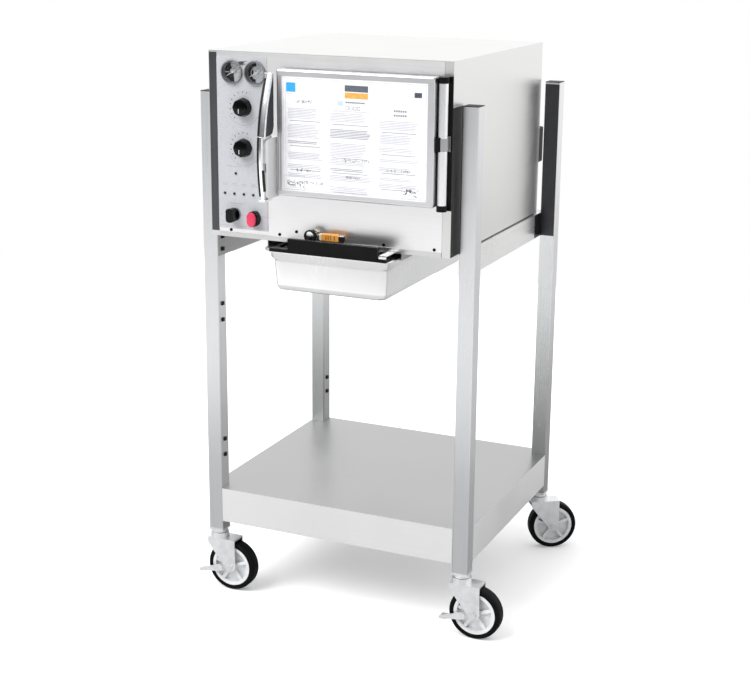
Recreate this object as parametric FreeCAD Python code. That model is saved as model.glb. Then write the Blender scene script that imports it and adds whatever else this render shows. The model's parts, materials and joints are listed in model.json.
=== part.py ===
"""Countertop pan steamer on a mobile stand, drawn part by part and written as one STEP per part.

Millimetres.  The origin is on the floor, midway between the four caster swivel axes.
+X is to the right of someone facing the door, the door faces -Y, and +Z is up.
"""
import FreeCAD, Part

import math
import os

V = FreeCAD.Vector
X_AXIS = V(1, 0, 0)
Y_AXIS = V(0, 1, 0)
Z_AXIS = V(0, 0, 1)

# ---- driving dimensions ------------------------------------------------------------------------
# front of the cabinet, from left to right
side_return = 20.0          # folded edge of the wrapper at each side
control_width = 128.0       # control panel
latch_strip = 41.0          # bare front between the control panel and the door
door_width = 375.5
hinge_strip = 29.5          # from the door's hinge edge to the cabinet's right side
# front of the cabinet, from bottom to top
strip_below_door = 113.0
door_height = 279.0
strip_above_door = 32.0

cabinet_depth = 598.0
door_depth = 35.0           # door's front face ahead of the cabinet's front
sheet = 1.5                 # stainless sheet of the cabinet and the shelf

# stand
leg_size = 38.0
leg_wall = 1.6
side_gap = 7.0              # cabinet side to leg
front_proud = 35.0          # cabinet front ahead of the front legs
rear_gap = 11.0             # cabinet back to rear legs
leg_above_rail = 326.0
rail_height = 60.0
rail_flange = 32.0
shelf_height = 268.0        # top of the lower shelf above the floor
apron_height = 86.0

# casters
wheel_diameter = 127.0
wheel_width = 32.0
caster_headroom = 33.0      # top of the tyre to the foot of the leg
caster_trail = 38.0
axle_radius = 4.0
kingpin_radius = 5.0

cabinet_floor_height = 912.0    # underside of the cabinet above the floor

# drain pan
pan_width = 325.0
pan_length = 530.0
pan_depth = 98.0
pan_offset = 13.0           # pan's centre line to the right of the stand's centre
pan_wall = 1.2
pan_rim = 12.0

# steam chamber
door_overlap = 15.25        # door beyond the chamber's mouth on each side
chamber_back_space = 57.0   # chamber's back to the cabinet's back
insulation = 18.0

# controls
knob_diameter = 44.0
knob_depth = 20.0
gauge_diameter = 53.0

# clearances
running = 0.05              # a pin in its hole, on the radius
fit_gap = 0.4               # parts that pass each other
loose = 0.2                 # a plug in its tube

# ---- places that follow from them --------------------------------------------------------------
cabinet_width = side_return + control_width + latch_strip + door_width + hinge_strip
cabinet_height = strip_below_door + door_height + strip_above_door
cab_left = -cabinet_width / 2
cab_right = cabinet_width / 2
leg_inner = cab_right + side_gap            # x of the legs' inner faces
leg_outer = leg_inner + leg_size
stand_depth = cabinet_depth - front_proud + rear_gap + leg_size
leg_front = -stand_depth / 2                # y of the front legs' front faces
leg_back = stand_depth / 2
cab_front = leg_front - front_proud
cab_back = cab_front + cabinet_depth
cab_bottom = cabinet_floor_height
cab_top = cab_bottom + cabinet_height
rail_top = cab_bottom
rail_bottom = rail_top - rail_height
leg_foot = wheel_diameter + caster_headroom
leg_top = cab_bottom + leg_above_rail
leg_x = leg_inner + leg_size / 2
leg_y = leg_back - leg_size / 2

door_right = cab_right - hinge_strip
door_left = door_right - door_width
door_bottom = cab_bottom + strip_below_door
door_top = door_bottom + door_height
door_middle = (door_left + door_right) / 2
door_face = cab_front - door_depth

mouth_left = door_left + door_overlap
mouth_right = door_right - door_overlap
mouth_bottom = door_bottom + door_overlap
mouth_top = door_top - door_overlap
chamber_back = cab_back - chamber_back_space

panel_left = cab_left + side_return
panel_right = panel_left + control_width
panel_bottom = cab_bottom + 20.0
panel_top = cab_top - 12.0
panel_thick = 1.0
panel_face = cab_front - panel_thick
panel_height = panel_top - panel_bottom

os.makedirs("parts", exist_ok=True)


def save(name, *solids):
    """Write the solids of one node to its own STEP file."""
    if len(solids) == 1:
        shape = solids[0]
    else:
        shape = Part.makeCompound(list(solids))
    shape.exportStep("parts/" + name + ".step")


def block(x0, x1, y0, y1, z0, z1):
    """A box between three pairs of planes."""
    return Part.makeBox(x1 - x0, y1 - y0, z1 - z0, V(x0, y0, z0))


def rod(radius, start, axis, length):
    """A round bar from a point along an axis."""
    return Part.makeCylinder(radius, length, start, axis)


def tube(outer, inner, start, axis, length):
    """A round bar with a round hole."""
    return rod(outer, start, axis, length).cut(rod(inner, start, axis, length))


def outline(points, normal, depth):
    """A flat outline pushed out along its normal."""
    wire = Part.makePolygon(points + [points[0]])
    return Part.Face(wire).extrude(normal * depth)


def edges_along(shape, axis):
    """The straight edges that run along an axis."""
    found = []
    for edge in shape.Edges:
        if edge.Curve.TypeId == "Part::GeomLine":
            if abs(edge.Curve.Direction.dot(axis)) > 0.999:
                found.append(edge)
    return found


def round_box(x0, x1, y0, y1, z0, z1, radius, axis=Z_AXIS):
    """A box whose four edges along one axis are rounded."""
    solid = block(x0, x1, y0, y1, z0, z1)
    return solid.makeFillet(radius, edges_along(solid, axis))


def hexagon(across_flats, start, axis, length):
    """A hexagonal head or nut, standing on a point, along X, Y or Z."""
    radius = across_flats / math.sqrt(3)
    side = Z_AXIS if abs(axis.dot(X_AXIS)) > 0.5 else X_AXIS
    other = axis.cross(side)
    points = []
    for step in range(6):
        turn = math.radians(60 * step + 30)
        points.append(start + side * (radius * math.cos(turn)) + other * (radius * math.sin(turn)))
    return outline(points, axis, length)


# ---- stand: legs, rails, lower shelf -----------------------------------------------------------
bolt_head = 9.0
bolt_rise = 3.0
bolt_shank = 3.0
bolt_length = 12.0
bolt_pitch = 40.0
rail_bolt_pitch = 30.0
rail_bolt_shift = 3.0
spare_heights = (104.0, 446.0)      # spare bolt pairs for a middle shelf, above the lower shelf


def leg_bolt(side_x, y, z, face):
    """Black square-headed bolt through the inner wall of a leg; face is where its head seats."""
    half = bolt_head / 2
    head = block(face - bolt_rise, face, y - half, y + half, z - half, z + half)
    bolt = head.fuse(rod(bolt_shank, V(face, y, z), X_AXIS, bolt_length))
    return bolt if side_x > 0 else bolt.mirror(V(0, 0, 0), X_AXIS)


bolts = []
bolt_holes = []
for side_x in (-1, 1):
    for side_y in (-1, 1):
        places = []
        for step in (-0.5, 0.5):
            for middle in spare_heights:
                places.append((side_y * leg_y, shelf_height + middle + step * bolt_pitch, leg_inner))
            places.append((side_y * (leg_y - rail_bolt_shift),
                           (rail_top + rail_bottom) / 2 + step * rail_bolt_pitch, leg_inner - sheet))
        for y, z, face in places:
            bolts.append(leg_bolt(side_x, y, z, face))
            start = V(side_x * (leg_inner - 2 * sheet), y, z)
            bolt_holes.append(rod(bolt_shank + loose, start, X_AXIS * side_x, bolt_length + sheet))
bolt_holes = Part.makeCompound(bolt_holes)
save("frame_bolts", *bolts)


def leg_at(side_x, side_y):
    """One square tube leg, standing on its caster stem."""
    x = side_x * leg_x
    y = side_y * leg_y
    half = leg_size / 2
    bore = half - leg_wall
    outer = round_box(x - half, x + half, y - half, y + half, leg_foot, leg_top, 3.0)
    leg = outer.cut(block(x - bore, x + bore, y - bore, y + bore, leg_foot, leg_top))
    return leg.cut(bolt_holes)


save("front_legs", leg_at(-1, -1), leg_at(1, -1))
save("rear_legs", leg_at(-1, 1), leg_at(1, 1))

plug_cap = 1.6
plug_skirt = 18.0


def leg_plug_at(side_x, side_y):
    """Moulded plug that closes the top of a leg."""
    x = side_x * leg_x
    y = side_y * leg_y
    cap = leg_size / 2 - 0.5
    skirt = leg_size / 2 - leg_wall - loose
    top = block(x - cap, x + cap, y - cap, y + cap, leg_top, leg_top + plug_cap)
    return top.fuse(block(x - skirt, x + skirt, y - skirt, y + skirt, leg_top - plug_skirt, leg_top))


save("leg_top_plugs", *[leg_plug_at(sx, sy) for sx in (-1, 1) for sy in (-1, 1)])

rail_end = 3.0              # rail's end to the leg's far face


def side_rail(side):
    """Angle rail between a front and a rear leg: a tall web and a flange the cabinet stands on."""
    y0 = leg_front + leg_size
    y1 = leg_back - leg_size
    web = block(leg_inner - sheet, leg_inner, leg_front + rail_end, leg_back - rail_end,
                rail_bottom, rail_top)
    flange = block(leg_inner - rail_flange, leg_inner, y0, y1, rail_top - sheet, rail_top)
    rail = web.fuse(flange).removeSplitter()
    if side < 0:
        rail = rail.mirror(V(0, 0, 0), X_AXIS)
    return rail.cut(bolt_holes)


rear_rail_y = leg_back - rail_end - sheet
rear_rail = block(-leg_inner + sheet, leg_inner - sheet, rear_rail_y, rear_rail_y + sheet,
                  rail_bottom, rail_top)
save("cabinet_rails", side_rail(-1), side_rail(1), rear_rail)

shelf_bottom = shelf_height - apron_height
shelf = block(-leg_outer, leg_outer, leg_front, leg_back, shelf_bottom, shelf_height)
shelf = shelf.cut(block(-leg_outer + sheet, leg_outer - sheet, leg_front + sheet, leg_back - sheet,
                        shelf_bottom, shelf_height - sheet))
notch = leg_size + loose
for side_x in (-1, 1):
    for side_y in (-1, 1):
        x0, x1 = sorted((side_x * leg_outer, side_x * (leg_outer - notch)))
        y0, y1 = sorted((side_y * leg_back, side_y * (leg_back - notch)))
        shelf = shelf.cut(block(x0, x1, y0, y1, shelf_bottom, shelf_height))
save("lower_shelf", shelf)

# ---- casters -----------------------------------------------------------------------------------
axle_height = wheel_diameter / 2
tyre_radius = wheel_diameter / 2
hub_radius = tyre_radius - 12.5
flange_thick = 6.0
race_thick = 6.0
race_gap = 1.0
race_radius = 20.0
crown_top = leg_foot - flange_thick - race_thick - race_gap
crown_thick = 4.0
crown_bottom = wheel_diameter + 3.5
fork_gap = 2.5
fork_plate = 3.0
fork_inner = wheel_width / 2 + fork_gap
fork_outer = fork_inner + fork_plate
stem_length = 45.0


def caster_stem(x, y):
    """Stem pressed into the leg, its flange, the upper race and the kingpin."""
    core = leg_size / 2 - leg_wall - loose
    half = leg_size / 2
    parts = [
        block(x - half, x + half, y - half, y + half, leg_foot - flange_thick, leg_foot),
        rod(race_radius, V(x, y, crown_top + race_gap), Z_AXIS, race_thick),
        rod(kingpin_radius, V(x, y, crown_bottom - 7.0), Z_AXIS, leg_foot - crown_bottom + 1.0),
        hexagon(15.0, V(x, y, crown_bottom - 7.0), Z_AXIS, 6.0),
    ]
    stem = block(x - core, x + core, y - core, y + core, leg_foot, leg_foot + stem_length)
    return stem.fuse(parts)


def caster_fork(braked):
    """Pressed fork, drawn with its swivel axis on the Z axis and its wheel trailing along +X."""
    cup = rod(race_radius + 3.0, V(0, 0, crown_bottom), Z_AXIS, crown_top - crown_bottom)
    plate = round_box(-23.0, 52.0, -fork_outer, fork_outer, crown_bottom, crown_bottom + crown_thick, 8.0)
    fork = cup.fuse(plate)
    side_points = [
        V(-23.0, 0, crown_bottom + crown_thick),
        V(-23.0, 0, crown_bottom - 10.0),
        V(-6.0, 0, axle_height + 34.0),
        V(caster_trail - 15.0, 0, axle_height),
        V(caster_trail - 11.0, 0, axle_height - 11.0),
        V(caster_trail, 0, axle_height - 15.0),
        V(caster_trail + 11.0, 0, axle_height - 11.0),
        V(caster_trail + 15.0, 0, axle_height),
        V(52.0, 0, axle_height + 38.0),
        V(52.0, 0, crown_bottom + crown_thick),
    ]
    for face in (-fork_outer, fork_inner):
        points = [V(point.x, face, point.z) for point in side_points]
        fork = fork.fuse(outline(points, Y_AXIS, fork_plate))
    fork = fork.cut(rod(kingpin_radius + running, V(0, 0, 0), Z_AXIS, leg_foot))
    axle_line = V(caster_trail, -fork_outer - 1.0, axle_height)
    fork = fork.cut(rod(axle_radius + 0.1, axle_line, Y_AXIS, 2 * fork_outer + 2.0))
    if braked:
        fork = fork.fuse(tube(8.0, brake_pin_radius, V(brake_x, -brake_plane, brake_z), Y_AXIS,
                              brake_plane - fork_outer))
    bolt = rod(axle_radius, V(caster_trail, -fork_outer - 1.0, axle_height), Y_AXIS, 2 * fork_outer + 8.0)
    bolt = bolt.fuse(hexagon(13.0, V(caster_trail, -fork_outer - 5.0, axle_height), Y_AXIS, 5.0))
    nut = hexagon(13.0, V(caster_trail, fork_outer, axle_height), Y_AXIS, 6.0)
    nut = nut.cut(rod(axle_radius, V(caster_trail, fork_outer, axle_height), Y_AXIS, 6.0))
    return [fork, bolt, nut]


brake_x = caster_trail - 26.0
brake_z = axle_height - 6.0
brake_pin_radius = 2.5
brake_plane = fork_outer + 1.0


def wheel_hub():
    """Moulded hub: a bored boss, five spokes and a rim that carries the tyre."""
    half = wheel_width / 2 - 1.0
    centre = V(caster_trail, 0, axle_height)
    rim = tube(hub_radius, hub_radius - 8.0, centre - Y_AXIS * half, Y_AXIS, 2 * half)
    boss = rod(14.0, centre - Y_AXIS * (half + 2.0), Y_AXIS, 2 * half + 4.0)
    web = rod(hub_radius - 4.0, centre - Y_AXIS * 2.0, Y_AXIS, 4.0)
    hub = rim.fuse([boss, web])
    for step in range(5):
        spoke = block(caster_trail + 10.0, caster_trail + hub_radius - 4.0, -half + 2.0, half - 2.0,
                      axle_height - 4.0, axle_height + 4.0)
        spoke.rotate(centre, Y_AXIS, 72.0 * step - 20.0)
        hub = hub.fuse(spoke)
    return hub.cut(rod(axle_radius + running, centre - Y_AXIS * wheel_width, Y_AXIS, 2 * wheel_width))


def wheel_tyre():
    """Rubber tyre with rounded shoulders."""
    half = wheel_width / 2
    start = V(caster_trail, -half, axle_height)
    ring = rod(tyre_radius, start, Y_AXIS, wheel_width)
    ring = ring.makeFillet(5.0, [edge for edge in ring.Edges if edge.Curve.TypeId == "Part::GeomCircle"])
    return ring.cut(rod(hub_radius, start, Y_AXIS, wheel_width))


def brake_pedal():
    """Foot pedal on the outside of the fork, turning on a short pin."""
    y0 = -brake_plane - 3.5
    arm_points = [
        V(brake_x + 7.0, y0, brake_z + 7.0),
        V(brake_x - 5.0, y0, brake_z + 9.0),
        V(brake_x - 58.0, y0, brake_z - 10.0),
        V(brake_x - 58.0, y0, brake_z - 17.0),
        V(brake_x + 7.0, y0, brake_z - 7.0),
    ]
    arm = outline(arm_points, Y_AXIS, 3.0)
    tread = block(brake_x - 58.0, brake_x - 42.0, y0, y0 + 26.0, brake_z - 16.0, brake_z - 12.5)
    pin = rod(brake_pin_radius - running, V(brake_x, y0, brake_z), Y_AXIS, 3.5 + brake_plane - fork_outer)
    return arm.fuse([tread, pin])


corners = {
    "front_left": (-1, -1, 0.0, True),
    "front_right": (1, -1, 0.0, True),
    "rear_left": (-1, 1, 20.0, False),
    "rear_right": (1, 1, 32.0, False),
}
stems = []
for corner, (side_x, side_y, swivel, braked) in corners.items():
    place = V(side_x * leg_x, side_y * leg_y, 0)
    stems.append(caster_stem(place.x, place.y))
    pieces = {"fork_" + corner: caster_fork(braked), "hub_" + corner: [wheel_hub()],
              "tyre_" + corner: [wheel_tyre()]}
    if braked:
        pieces["brake_pedal_" + corner] = [brake_pedal()]
    for name, solids in pieces.items():
        for solid in solids:
            solid.rotate(V(0, 0, 0), Z_AXIS, swivel)
            solid.translate(place)
        save(name, *solids)
save("caster_stems", *stems)

# ---- cabinet shell -----------------------------------------------------------------------------
wrap = block(cab_left, cab_right, cab_front, cab_back - sheet, cab_bottom, cab_top)
wrap = wrap.cut(block(cab_left + sheet, cab_right - sheet, cab_front, cab_back - sheet,
                      cab_bottom, cab_top - sheet))
for side in (-1, 1):
    x0, x1 = sorted((side * cab_right, side * (cab_right - side_return)))
    wrap = wrap.fuse(block(x0, x1, cab_front, cab_front + sheet, cab_bottom, cab_top))
wrap = wrap.removeSplitter()
save("cabinet_wrap", wrap)

base_top = cab_bottom + sheet
spout_x = door_left + 78.0
spout_y = cab_front + 42.0
spout_radius = 11.0
base = block(cab_left + sheet, cab_right - sheet, cab_front + sheet, cab_back - sheet, cab_bottom, base_top)
base = base.cut(rod(spout_radius + fit_gap, V(spout_x, spout_y, cab_bottom), Z_AXIS, sheet))
lip_height = 11.0
lip = block(cab_left + side_return + fit_gap, cab_right - side_return - fit_gap, cab_front - sheet, cab_front,
            cab_bottom, cab_bottom + lip_height)
toe = block(cab_left + side_return + fit_gap, cab_right - side_return - fit_gap, cab_front, cab_front + sheet,
            cab_bottom, base_top)
base = base.fuse([toe, lip]).removeSplitter()
save("cabinet_base", base)

inlet_width = 60.0
inlet_height = 88.0
inlet_depth = 36.0
inlet_x = cab_right - 2.0 - inlet_width / 2
inlet_z = cab_bottom + 170.0
cord_bore = 7.0
back = block(cab_left, cab_right, cab_back - sheet, cab_back, cab_bottom, cab_top)
louvre_count = 9
louvre_width = 190.0
louvre_pitch = 18.0
louvre_x = cab_left + 45.0
for step in range(louvre_count):
    z = cab_bottom + 90.0 + step * louvre_pitch
    slot = round_box(louvre_x, louvre_x + louvre_width, cab_back - 2 * sheet, cab_back + sheet, z, z + 6.0,
                     2.9, Y_AXIS)
    back = back.cut(slot)
back = back.cut(rod(cord_bore + 4.0, V(inlet_x, cab_back - sheet, inlet_z), Y_AXIS, sheet))
save("cabinet_back", back)

inlet_box = round_box(inlet_x - inlet_width / 2, inlet_x + inlet_width / 2, cab_back, cab_back + inlet_depth,
                      inlet_z - inlet_height / 2, inlet_z + inlet_height / 2, 4.0, Y_AXIS)
gland_z = inlet_z - inlet_height / 2
gland_y = cab_back + inlet_depth / 2
gland_length = 14.0
inlet_wall = 2.0
inlet_box = inlet_box.cut(block(inlet_x - inlet_width / 2 + inlet_wall, inlet_x + inlet_width / 2 - inlet_wall,
                                cab_back + inlet_wall, cab_back + inlet_depth - inlet_wall,
                                gland_z + inlet_wall, gland_z + inlet_height - inlet_wall))
gland_foot = V(inlet_x, gland_y, gland_z - gland_length)
inlet_box = inlet_box.fuse(rod(cord_bore + 3.0, gland_foot, Z_AXIS, gland_length))
inlet_box = inlet_box.cut(rod(cord_bore, gland_foot, Z_AXIS, gland_length + inlet_wall))
inlet_box = inlet_box.cut(rod(cord_bore, V(inlet_x, cab_back, inlet_z), Y_AXIS, inlet_wall))
save("power_inlet", inlet_box)

# ---- where the controls sit on the panel -------------------------------------------------------
knob_x = panel_left + 68.0
gauge_x = (panel_left + 40.0, panel_left + 99.0)
gauge_z = panel_bottom + 0.911 * panel_height
upper_knob_z = panel_bottom + 0.714 * panel_height
lower_knob_z = panel_bottom + 0.480 * panel_height
lamp_z = panel_bottom + 0.207 * panel_height
single_lamp_z = panel_bottom + 0.327 * panel_height
lamp_pitch = 24.5
lamp_x = [panel_left + 17.0 + step * lamp_pitch for step in range(4)]
lamps = [(panel_left + 46.0, single_lamp_z)] + [(x, lamp_z) for x in lamp_x]
selector_x = panel_left + 40.0
button_x = panel_left + 95.0
selector_z = panel_bottom + 33.0
button_z = panel_bottom + 28.0
gauge_radius = gauge_diameter / 2
lamp_radius = 3.0
spindle_radius = 3.2
collar_radius = 14.0

valve_x = spout_x
valve_z = cab_bottom + 25.0
stem_radius = 5.0
neck_radius = 9.0

screw_head = 3.6
screw_shank = 2.0
screw_z = cab_bottom + 16.0
screw_places = [(panel_left + 31.0, screw_z), (door_left - 12.0, screw_z), (door_left + 31.0, screw_z + 10.0),
                (door_right - 128.5, screw_z), (door_right - 8.0, screw_z)]


def through_front(radius, x, z):
    """A drill through the cabinet's front and whatever is fixed to it."""
    return rod(radius, V(x, panel_face - 1.0, z), Y_AXIS, 12.0)


front_holes = [through_front(gauge_radius + fit_gap, x, gauge_z) for x in gauge_x]
front_holes += [through_front(lamp_radius + loose, x, z) for x, z in lamps]
front_holes += [through_front(spindle_radius + fit_gap, knob_x, z) for z in (upper_knob_z, lower_knob_z)]
front_holes.append(through_front(spindle_radius + fit_gap, selector_x, selector_z))
front_holes.append(through_front(collar_radius + fit_gap, button_x, button_z))
front_holes.append(through_front(neck_radius + fit_gap, valve_x, valve_z))
front_holes += [through_front(screw_shank + loose, x, z) for x, z in screw_places]

# ---- cabinet front -----------------------------------------------------------------------------
edge = side_return + fit_gap
front = block(cab_left + edge, cab_right - edge, cab_front, cab_front + sheet, base_top, cab_top - sheet)
front = front.cut(block(mouth_left, mouth_right, cab_front, cab_front + sheet, mouth_bottom, mouth_top))
save("front_frame", front.cut(front_holes))

panel = round_box(panel_left + fit_gap, panel_right, panel_face, cab_front, panel_bottom, panel_top,
                  2.0, Y_AXIS)
save("control_panel", panel.cut(front_holes))


def front_screw(x, z):
    """Pan-head screw into the cabinet's front."""
    head = rod(screw_head, V(x, cab_front - 2.0, z), Y_AXIS, 2.0)
    rim = [edge for edge in head.Edges if edge.BoundBox.YMax < cab_front - 1.9]
    head = head.makeFillet(1.2, rim)
    return head.fuse(rod(screw_shank, V(x, cab_front, z), Y_AXIS, 8.0))


save("front_screws", *[front_screw(x, z) for x, z in screw_places])

# ---- steam chamber and what surrounds it ---------------------------------------------------------
chamber_front = cab_front + sheet
chamber_flange = 10.0
chamber_low = mouth_bottom - sheet
chamber_high = mouth_top + sheet
drain_bore = 8.0
drain_hole = rod(drain_bore, V(spout_x, spout_y, chamber_low), Z_AXIS, sheet)


def chamber_wall(x0, x1):
    """Side sheet of the welded chamber, over its whole height."""
    return block(x0, x1, chamber_front, chamber_back, chamber_low, chamber_high)


def mouth_flange(x0, x1, z0, z1):
    """Strip of the flange around the mouth, welded to a sheet's front edge and to the cabinet's front."""
    return block(x0, x1, chamber_front, chamber_front + sheet, z0, z1)


chamber_floor = block(mouth_left, mouth_right, chamber_front, chamber_back, chamber_low, mouth_bottom)
save("steam_chamber",
     chamber_wall(mouth_left - sheet, mouth_left),
     chamber_wall(mouth_right, mouth_right + sheet),
     chamber_floor.cut(drain_hole),
     block(mouth_left, mouth_right, chamber_front, chamber_back, mouth_top, chamber_high),
     block(mouth_left, mouth_right, chamber_back - sheet, chamber_back, mouth_bottom, mouth_top),
     mouth_flange(mouth_left - chamber_flange, mouth_left - sheet, chamber_low, chamber_high),
     mouth_flange(mouth_right + sheet, mouth_right + chamber_flange, chamber_low, chamber_high),
     mouth_flange(mouth_left - chamber_flange, mouth_right + chamber_flange, chamber_high,
                  mouth_top + chamber_flange),
     mouth_flange(mouth_left - chamber_flange, mouth_right + chamber_flange, mouth_bottom - chamber_flange,
                  chamber_low))

heater_thick = 8.0
heater_top = mouth_bottom - sheet
heater_front = spout_y + spout_radius + 8.0
heater = round_box(mouth_left + 20.0, mouth_right - 20.0, heater_front, chamber_back - 40.0,
                   heater_top - heater_thick, heater_top, 12.0)
save("heater_plate", heater)

jacket_gap = 1.0
jacket_in = (mouth_left - sheet - jacket_gap, mouth_right + sheet + jacket_gap,
             chamber_front + sheet + jacket_gap, chamber_back + jacket_gap,
             heater_top - heater_thick - jacket_gap, mouth_top + sheet + jacket_gap)
jacket = block(jacket_in[0] - insulation, jacket_in[1] + insulation, jacket_in[2], jacket_in[3] + insulation,
               jacket_in[4] - insulation / 2, jacket_in[5] + insulation)
jacket = jacket.cut(block(*jacket_in))
jacket = jacket.cut(rod(spout_radius + jacket_gap, V(spout_x, spout_y, cab_bottom), Z_AXIS,
                        jacket_in[4] - cab_bottom + 1.0))
save("insulation_jacket", jacket)

rack_levels = 3
rack_plate = 2.0
rack_ledge = 7.0
rack_height = mouth_top - mouth_bottom - 30.0
rack_pitch = rack_height / rack_levels


def pan_rack(side):
    """Side rack: a plate with pressed ledges that carry the pans by their rims."""
    y0 = chamber_front + 12.0
    y1 = chamber_back - sheet - 12.0
    wall = mouth_right - 1.0
    z0 = mouth_bottom + 10.0
    rack = block(wall - rack_plate, wall, y0, y1, z0, z0 + rack_height)
    for level in range(rack_levels):
        z = z0 + 14.0 + level * rack_pitch
        rack = rack.fuse(block(wall - rack_ledge, wall, y0, y1, z, z + rack_plate))
    for level in range(rack_levels):
        z = z0 + 14.0 + level * rack_pitch + rack_pitch / 2
        slot = block(wall - rack_ledge, wall + 1.0, y0 + 30.0, y1 - 30.0, z - 18.0, z + 18.0)
        rack = rack.cut(slot)
    return rack if side > 0 else rack.mirror(V(door_middle, 0, 0), X_AXIS)


save("pan_racks", pan_rack(-1), pan_rack(1))

# ---- vacuum pump in the control compartment ------------------------------------------------------
pump_radius = 40.0
pump_y = (cab_front + cab_back) / 2 + 60.0
pump_x = cab_left + 100.0
pump_z = base_top + pump_radius + 12.0
pump = rod(pump_radius, V(pump_x, pump_y, pump_z), Y_AXIS, 110.0)
pump = pump.fuse(round_box(pump_x - 34.0, pump_x + 34.0, pump_y - 60.0, pump_y, pump_z - 34.0, pump_z + 34.0,
                           8.0, Y_AXIS))
for x in (pump_x - 34.0, pump_x + 22.0):
    pump = pump.fuse(block(x, x + 12.0, pump_y + 15.0, pump_y + 95.0, base_top, pump_z - 20.0))
pump = pump.fuse(rod(6.0, V(pump_x, pump_y - 30.0, pump_z), Z_AXIS, 60.0))
save("vacuum_pump", pump)

# ---- drain valve -------------------------------------------------------------------------------
valve_half = 15.0
neck_face = cab_front - 8.0
valve = round_box(valve_x - valve_half, valve_x + valve_half, spout_y - valve_half, spout_y + valve_half,
                  valve_z - valve_half, valve_z + valve_half, 4.0)
valve = valve.fuse(rod(spout_radius, V(spout_x, spout_y, cab_bottom - 6.0), Z_AXIS,
                       heater_top - cab_bottom + 6.0))
valve = valve.fuse(rod(neck_radius, V(valve_x, cab_front, valve_z), Y_AXIS, spout_y - cab_front))
valve = valve.fuse(hexagon(22.0, V(valve_x, neck_face, valve_z), Y_AXIS, cab_front - neck_face))
valve = valve.cut(rod(drain_bore, V(spout_x, spout_y, cab_bottom - 6.0), Z_AXIS,
                      heater_top - cab_bottom + 6.0))
stem_seat = 14.0
valve = valve.cut(rod(stem_radius, V(valve_x, neck_face, valve_z), Y_AXIS, stem_seat))
save("drain_valve_body", valve)

lever_face = neck_face - 22.0
lever_reach = 82.0
lever_half = 4.5
lever_y = neck_face - 12.0
lever = rod(stem_radius - running, V(valve_x, lever_face, valve_z), Y_AXIS,
            neck_face - lever_face + stem_seat - 1.0)
lever = lever.fuse(rod(11.0, V(valve_x, lever_y - 7.0, valve_z), Y_AXIS, 10.0))
lever = lever.fuse(block(valve_x, valve_x + lever_reach, lever_y - 3.0, lever_y, valve_z - lever_half,
                         valve_z + lever_half))
lever = lever.fuse(round_box(valve_x + lever_reach - 12.0, valve_x + lever_reach,
                             lever_y - 5.5, lever_y + 2.5, valve_z - 7.0, valve_z + 7.0, 2.0, Y_AXIS))
save("drain_lever", lever)
sleeve = round_box(valve_x + 29.0, valve_x + lever_reach - 12.0, lever_y - 6.0, lever_y + 3.0,
                   valve_z - 9.0, valve_z + 9.0, 3.0, X_AXIS)
sleeve = sleeve.cut(block(valve_x, valve_x + lever_reach, lever_y - 3.0, lever_y, valve_z - lever_half,
                          valve_z + lever_half))
save("lever_sleeve", sleeve)

# ---- gauges --------------------------------------------------------------------------------------
bezel_proud = 6.0
gauge_wall = 2.0
gauge_body_depth = 42.0
dial_depth = 12.0
lens_thick = 1.6
bezel_face = cab_front - bezel_proud
dial_face = bezel_face + dial_depth
needle_pin = 1.5


def gauge_body(x):
    """Gauge case with a recessed dial and a step that seats the lens."""
    body = rod(gauge_radius, V(x, bezel_face, gauge_z), Y_AXIS, gauge_body_depth)
    body = body.cut(rod(gauge_radius - gauge_wall - 1.0, V(x, bezel_face, gauge_z), Y_AXIS, dial_depth))
    body = body.cut(rod(gauge_radius - gauge_wall, V(x, bezel_face, gauge_z), Y_AXIS, 1.0 + lens_thick))
    return body.cut(rod(needle_pin, V(x, dial_face, gauge_z), Y_AXIS, 6.0))


def gauge_lens(x):
    """Flat glass, seated on the step inside the bezel."""
    return rod(gauge_radius - gauge_wall - loose, V(x, bezel_face + 1.0, gauge_z), Y_AXIS, lens_thick)


def gauge_needle(x, heading):
    """Pointer on its spindle; heading turns it from pointing up, seen from the front."""
    y0 = dial_face - 4.0
    reach = gauge_radius - 8.0
    points = [V(x - 1.6, y0, gauge_z - 7.0), V(x + 1.6, y0, gauge_z - 7.0), V(x + 0.5, y0, gauge_z + reach),
              V(x - 0.5, y0, gauge_z + reach)]
    needle = outline(points, Y_AXIS, 0.8).fuse(rod(3.0, V(x, y0 - 0.6, gauge_z), Y_AXIS, 1.8))
    needle = needle.fuse(rod(needle_pin - running, V(x, y0, gauge_z), Y_AXIS, 9.0))
    needle.rotate(V(x, 0, gauge_z), Y_AXIS, heading)
    return needle


save("gauge_bodies", *[gauge_body(x) for x in gauge_x])
save("gauge_lenses", *[gauge_lens(x) for x in gauge_x])
save("left_needle", gauge_needle(gauge_x[0], -120.0))
save("right_needle", gauge_needle(gauge_x[1], -120.0))

# ---- knobs, button, lamps, and the switches behind them ------------------------------------------
switch_front = cab_front + sheet
switch_depth = 34.0
knob_back = panel_face - 0.6
spindle_end = switch_front + 20.0


def knob(x, z, radius, depth):
    """Moulded knob: a skirt, a round body and a grip bar, on its spindle."""
    skirt = rod(radius, V(x, knob_back - 3.0, z), Y_AXIS, 3.0)
    body = rod(radius * 0.86, V(x, knob_back - depth * 0.6, z), Y_AXIS, depth * 0.6)
    grip = round_box(x - radius * 0.26, x + radius * 0.26, knob_back - depth, knob_back - 1.0,
                     z - radius * 0.84, z + radius * 0.84, radius * 0.2, Y_AXIS)
    spindle = rod(spindle_radius - running, V(x, knob_back, z), Y_AXIS, spindle_end - 1.0 - knob_back)
    return skirt.fuse([body, grip, spindle])


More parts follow.
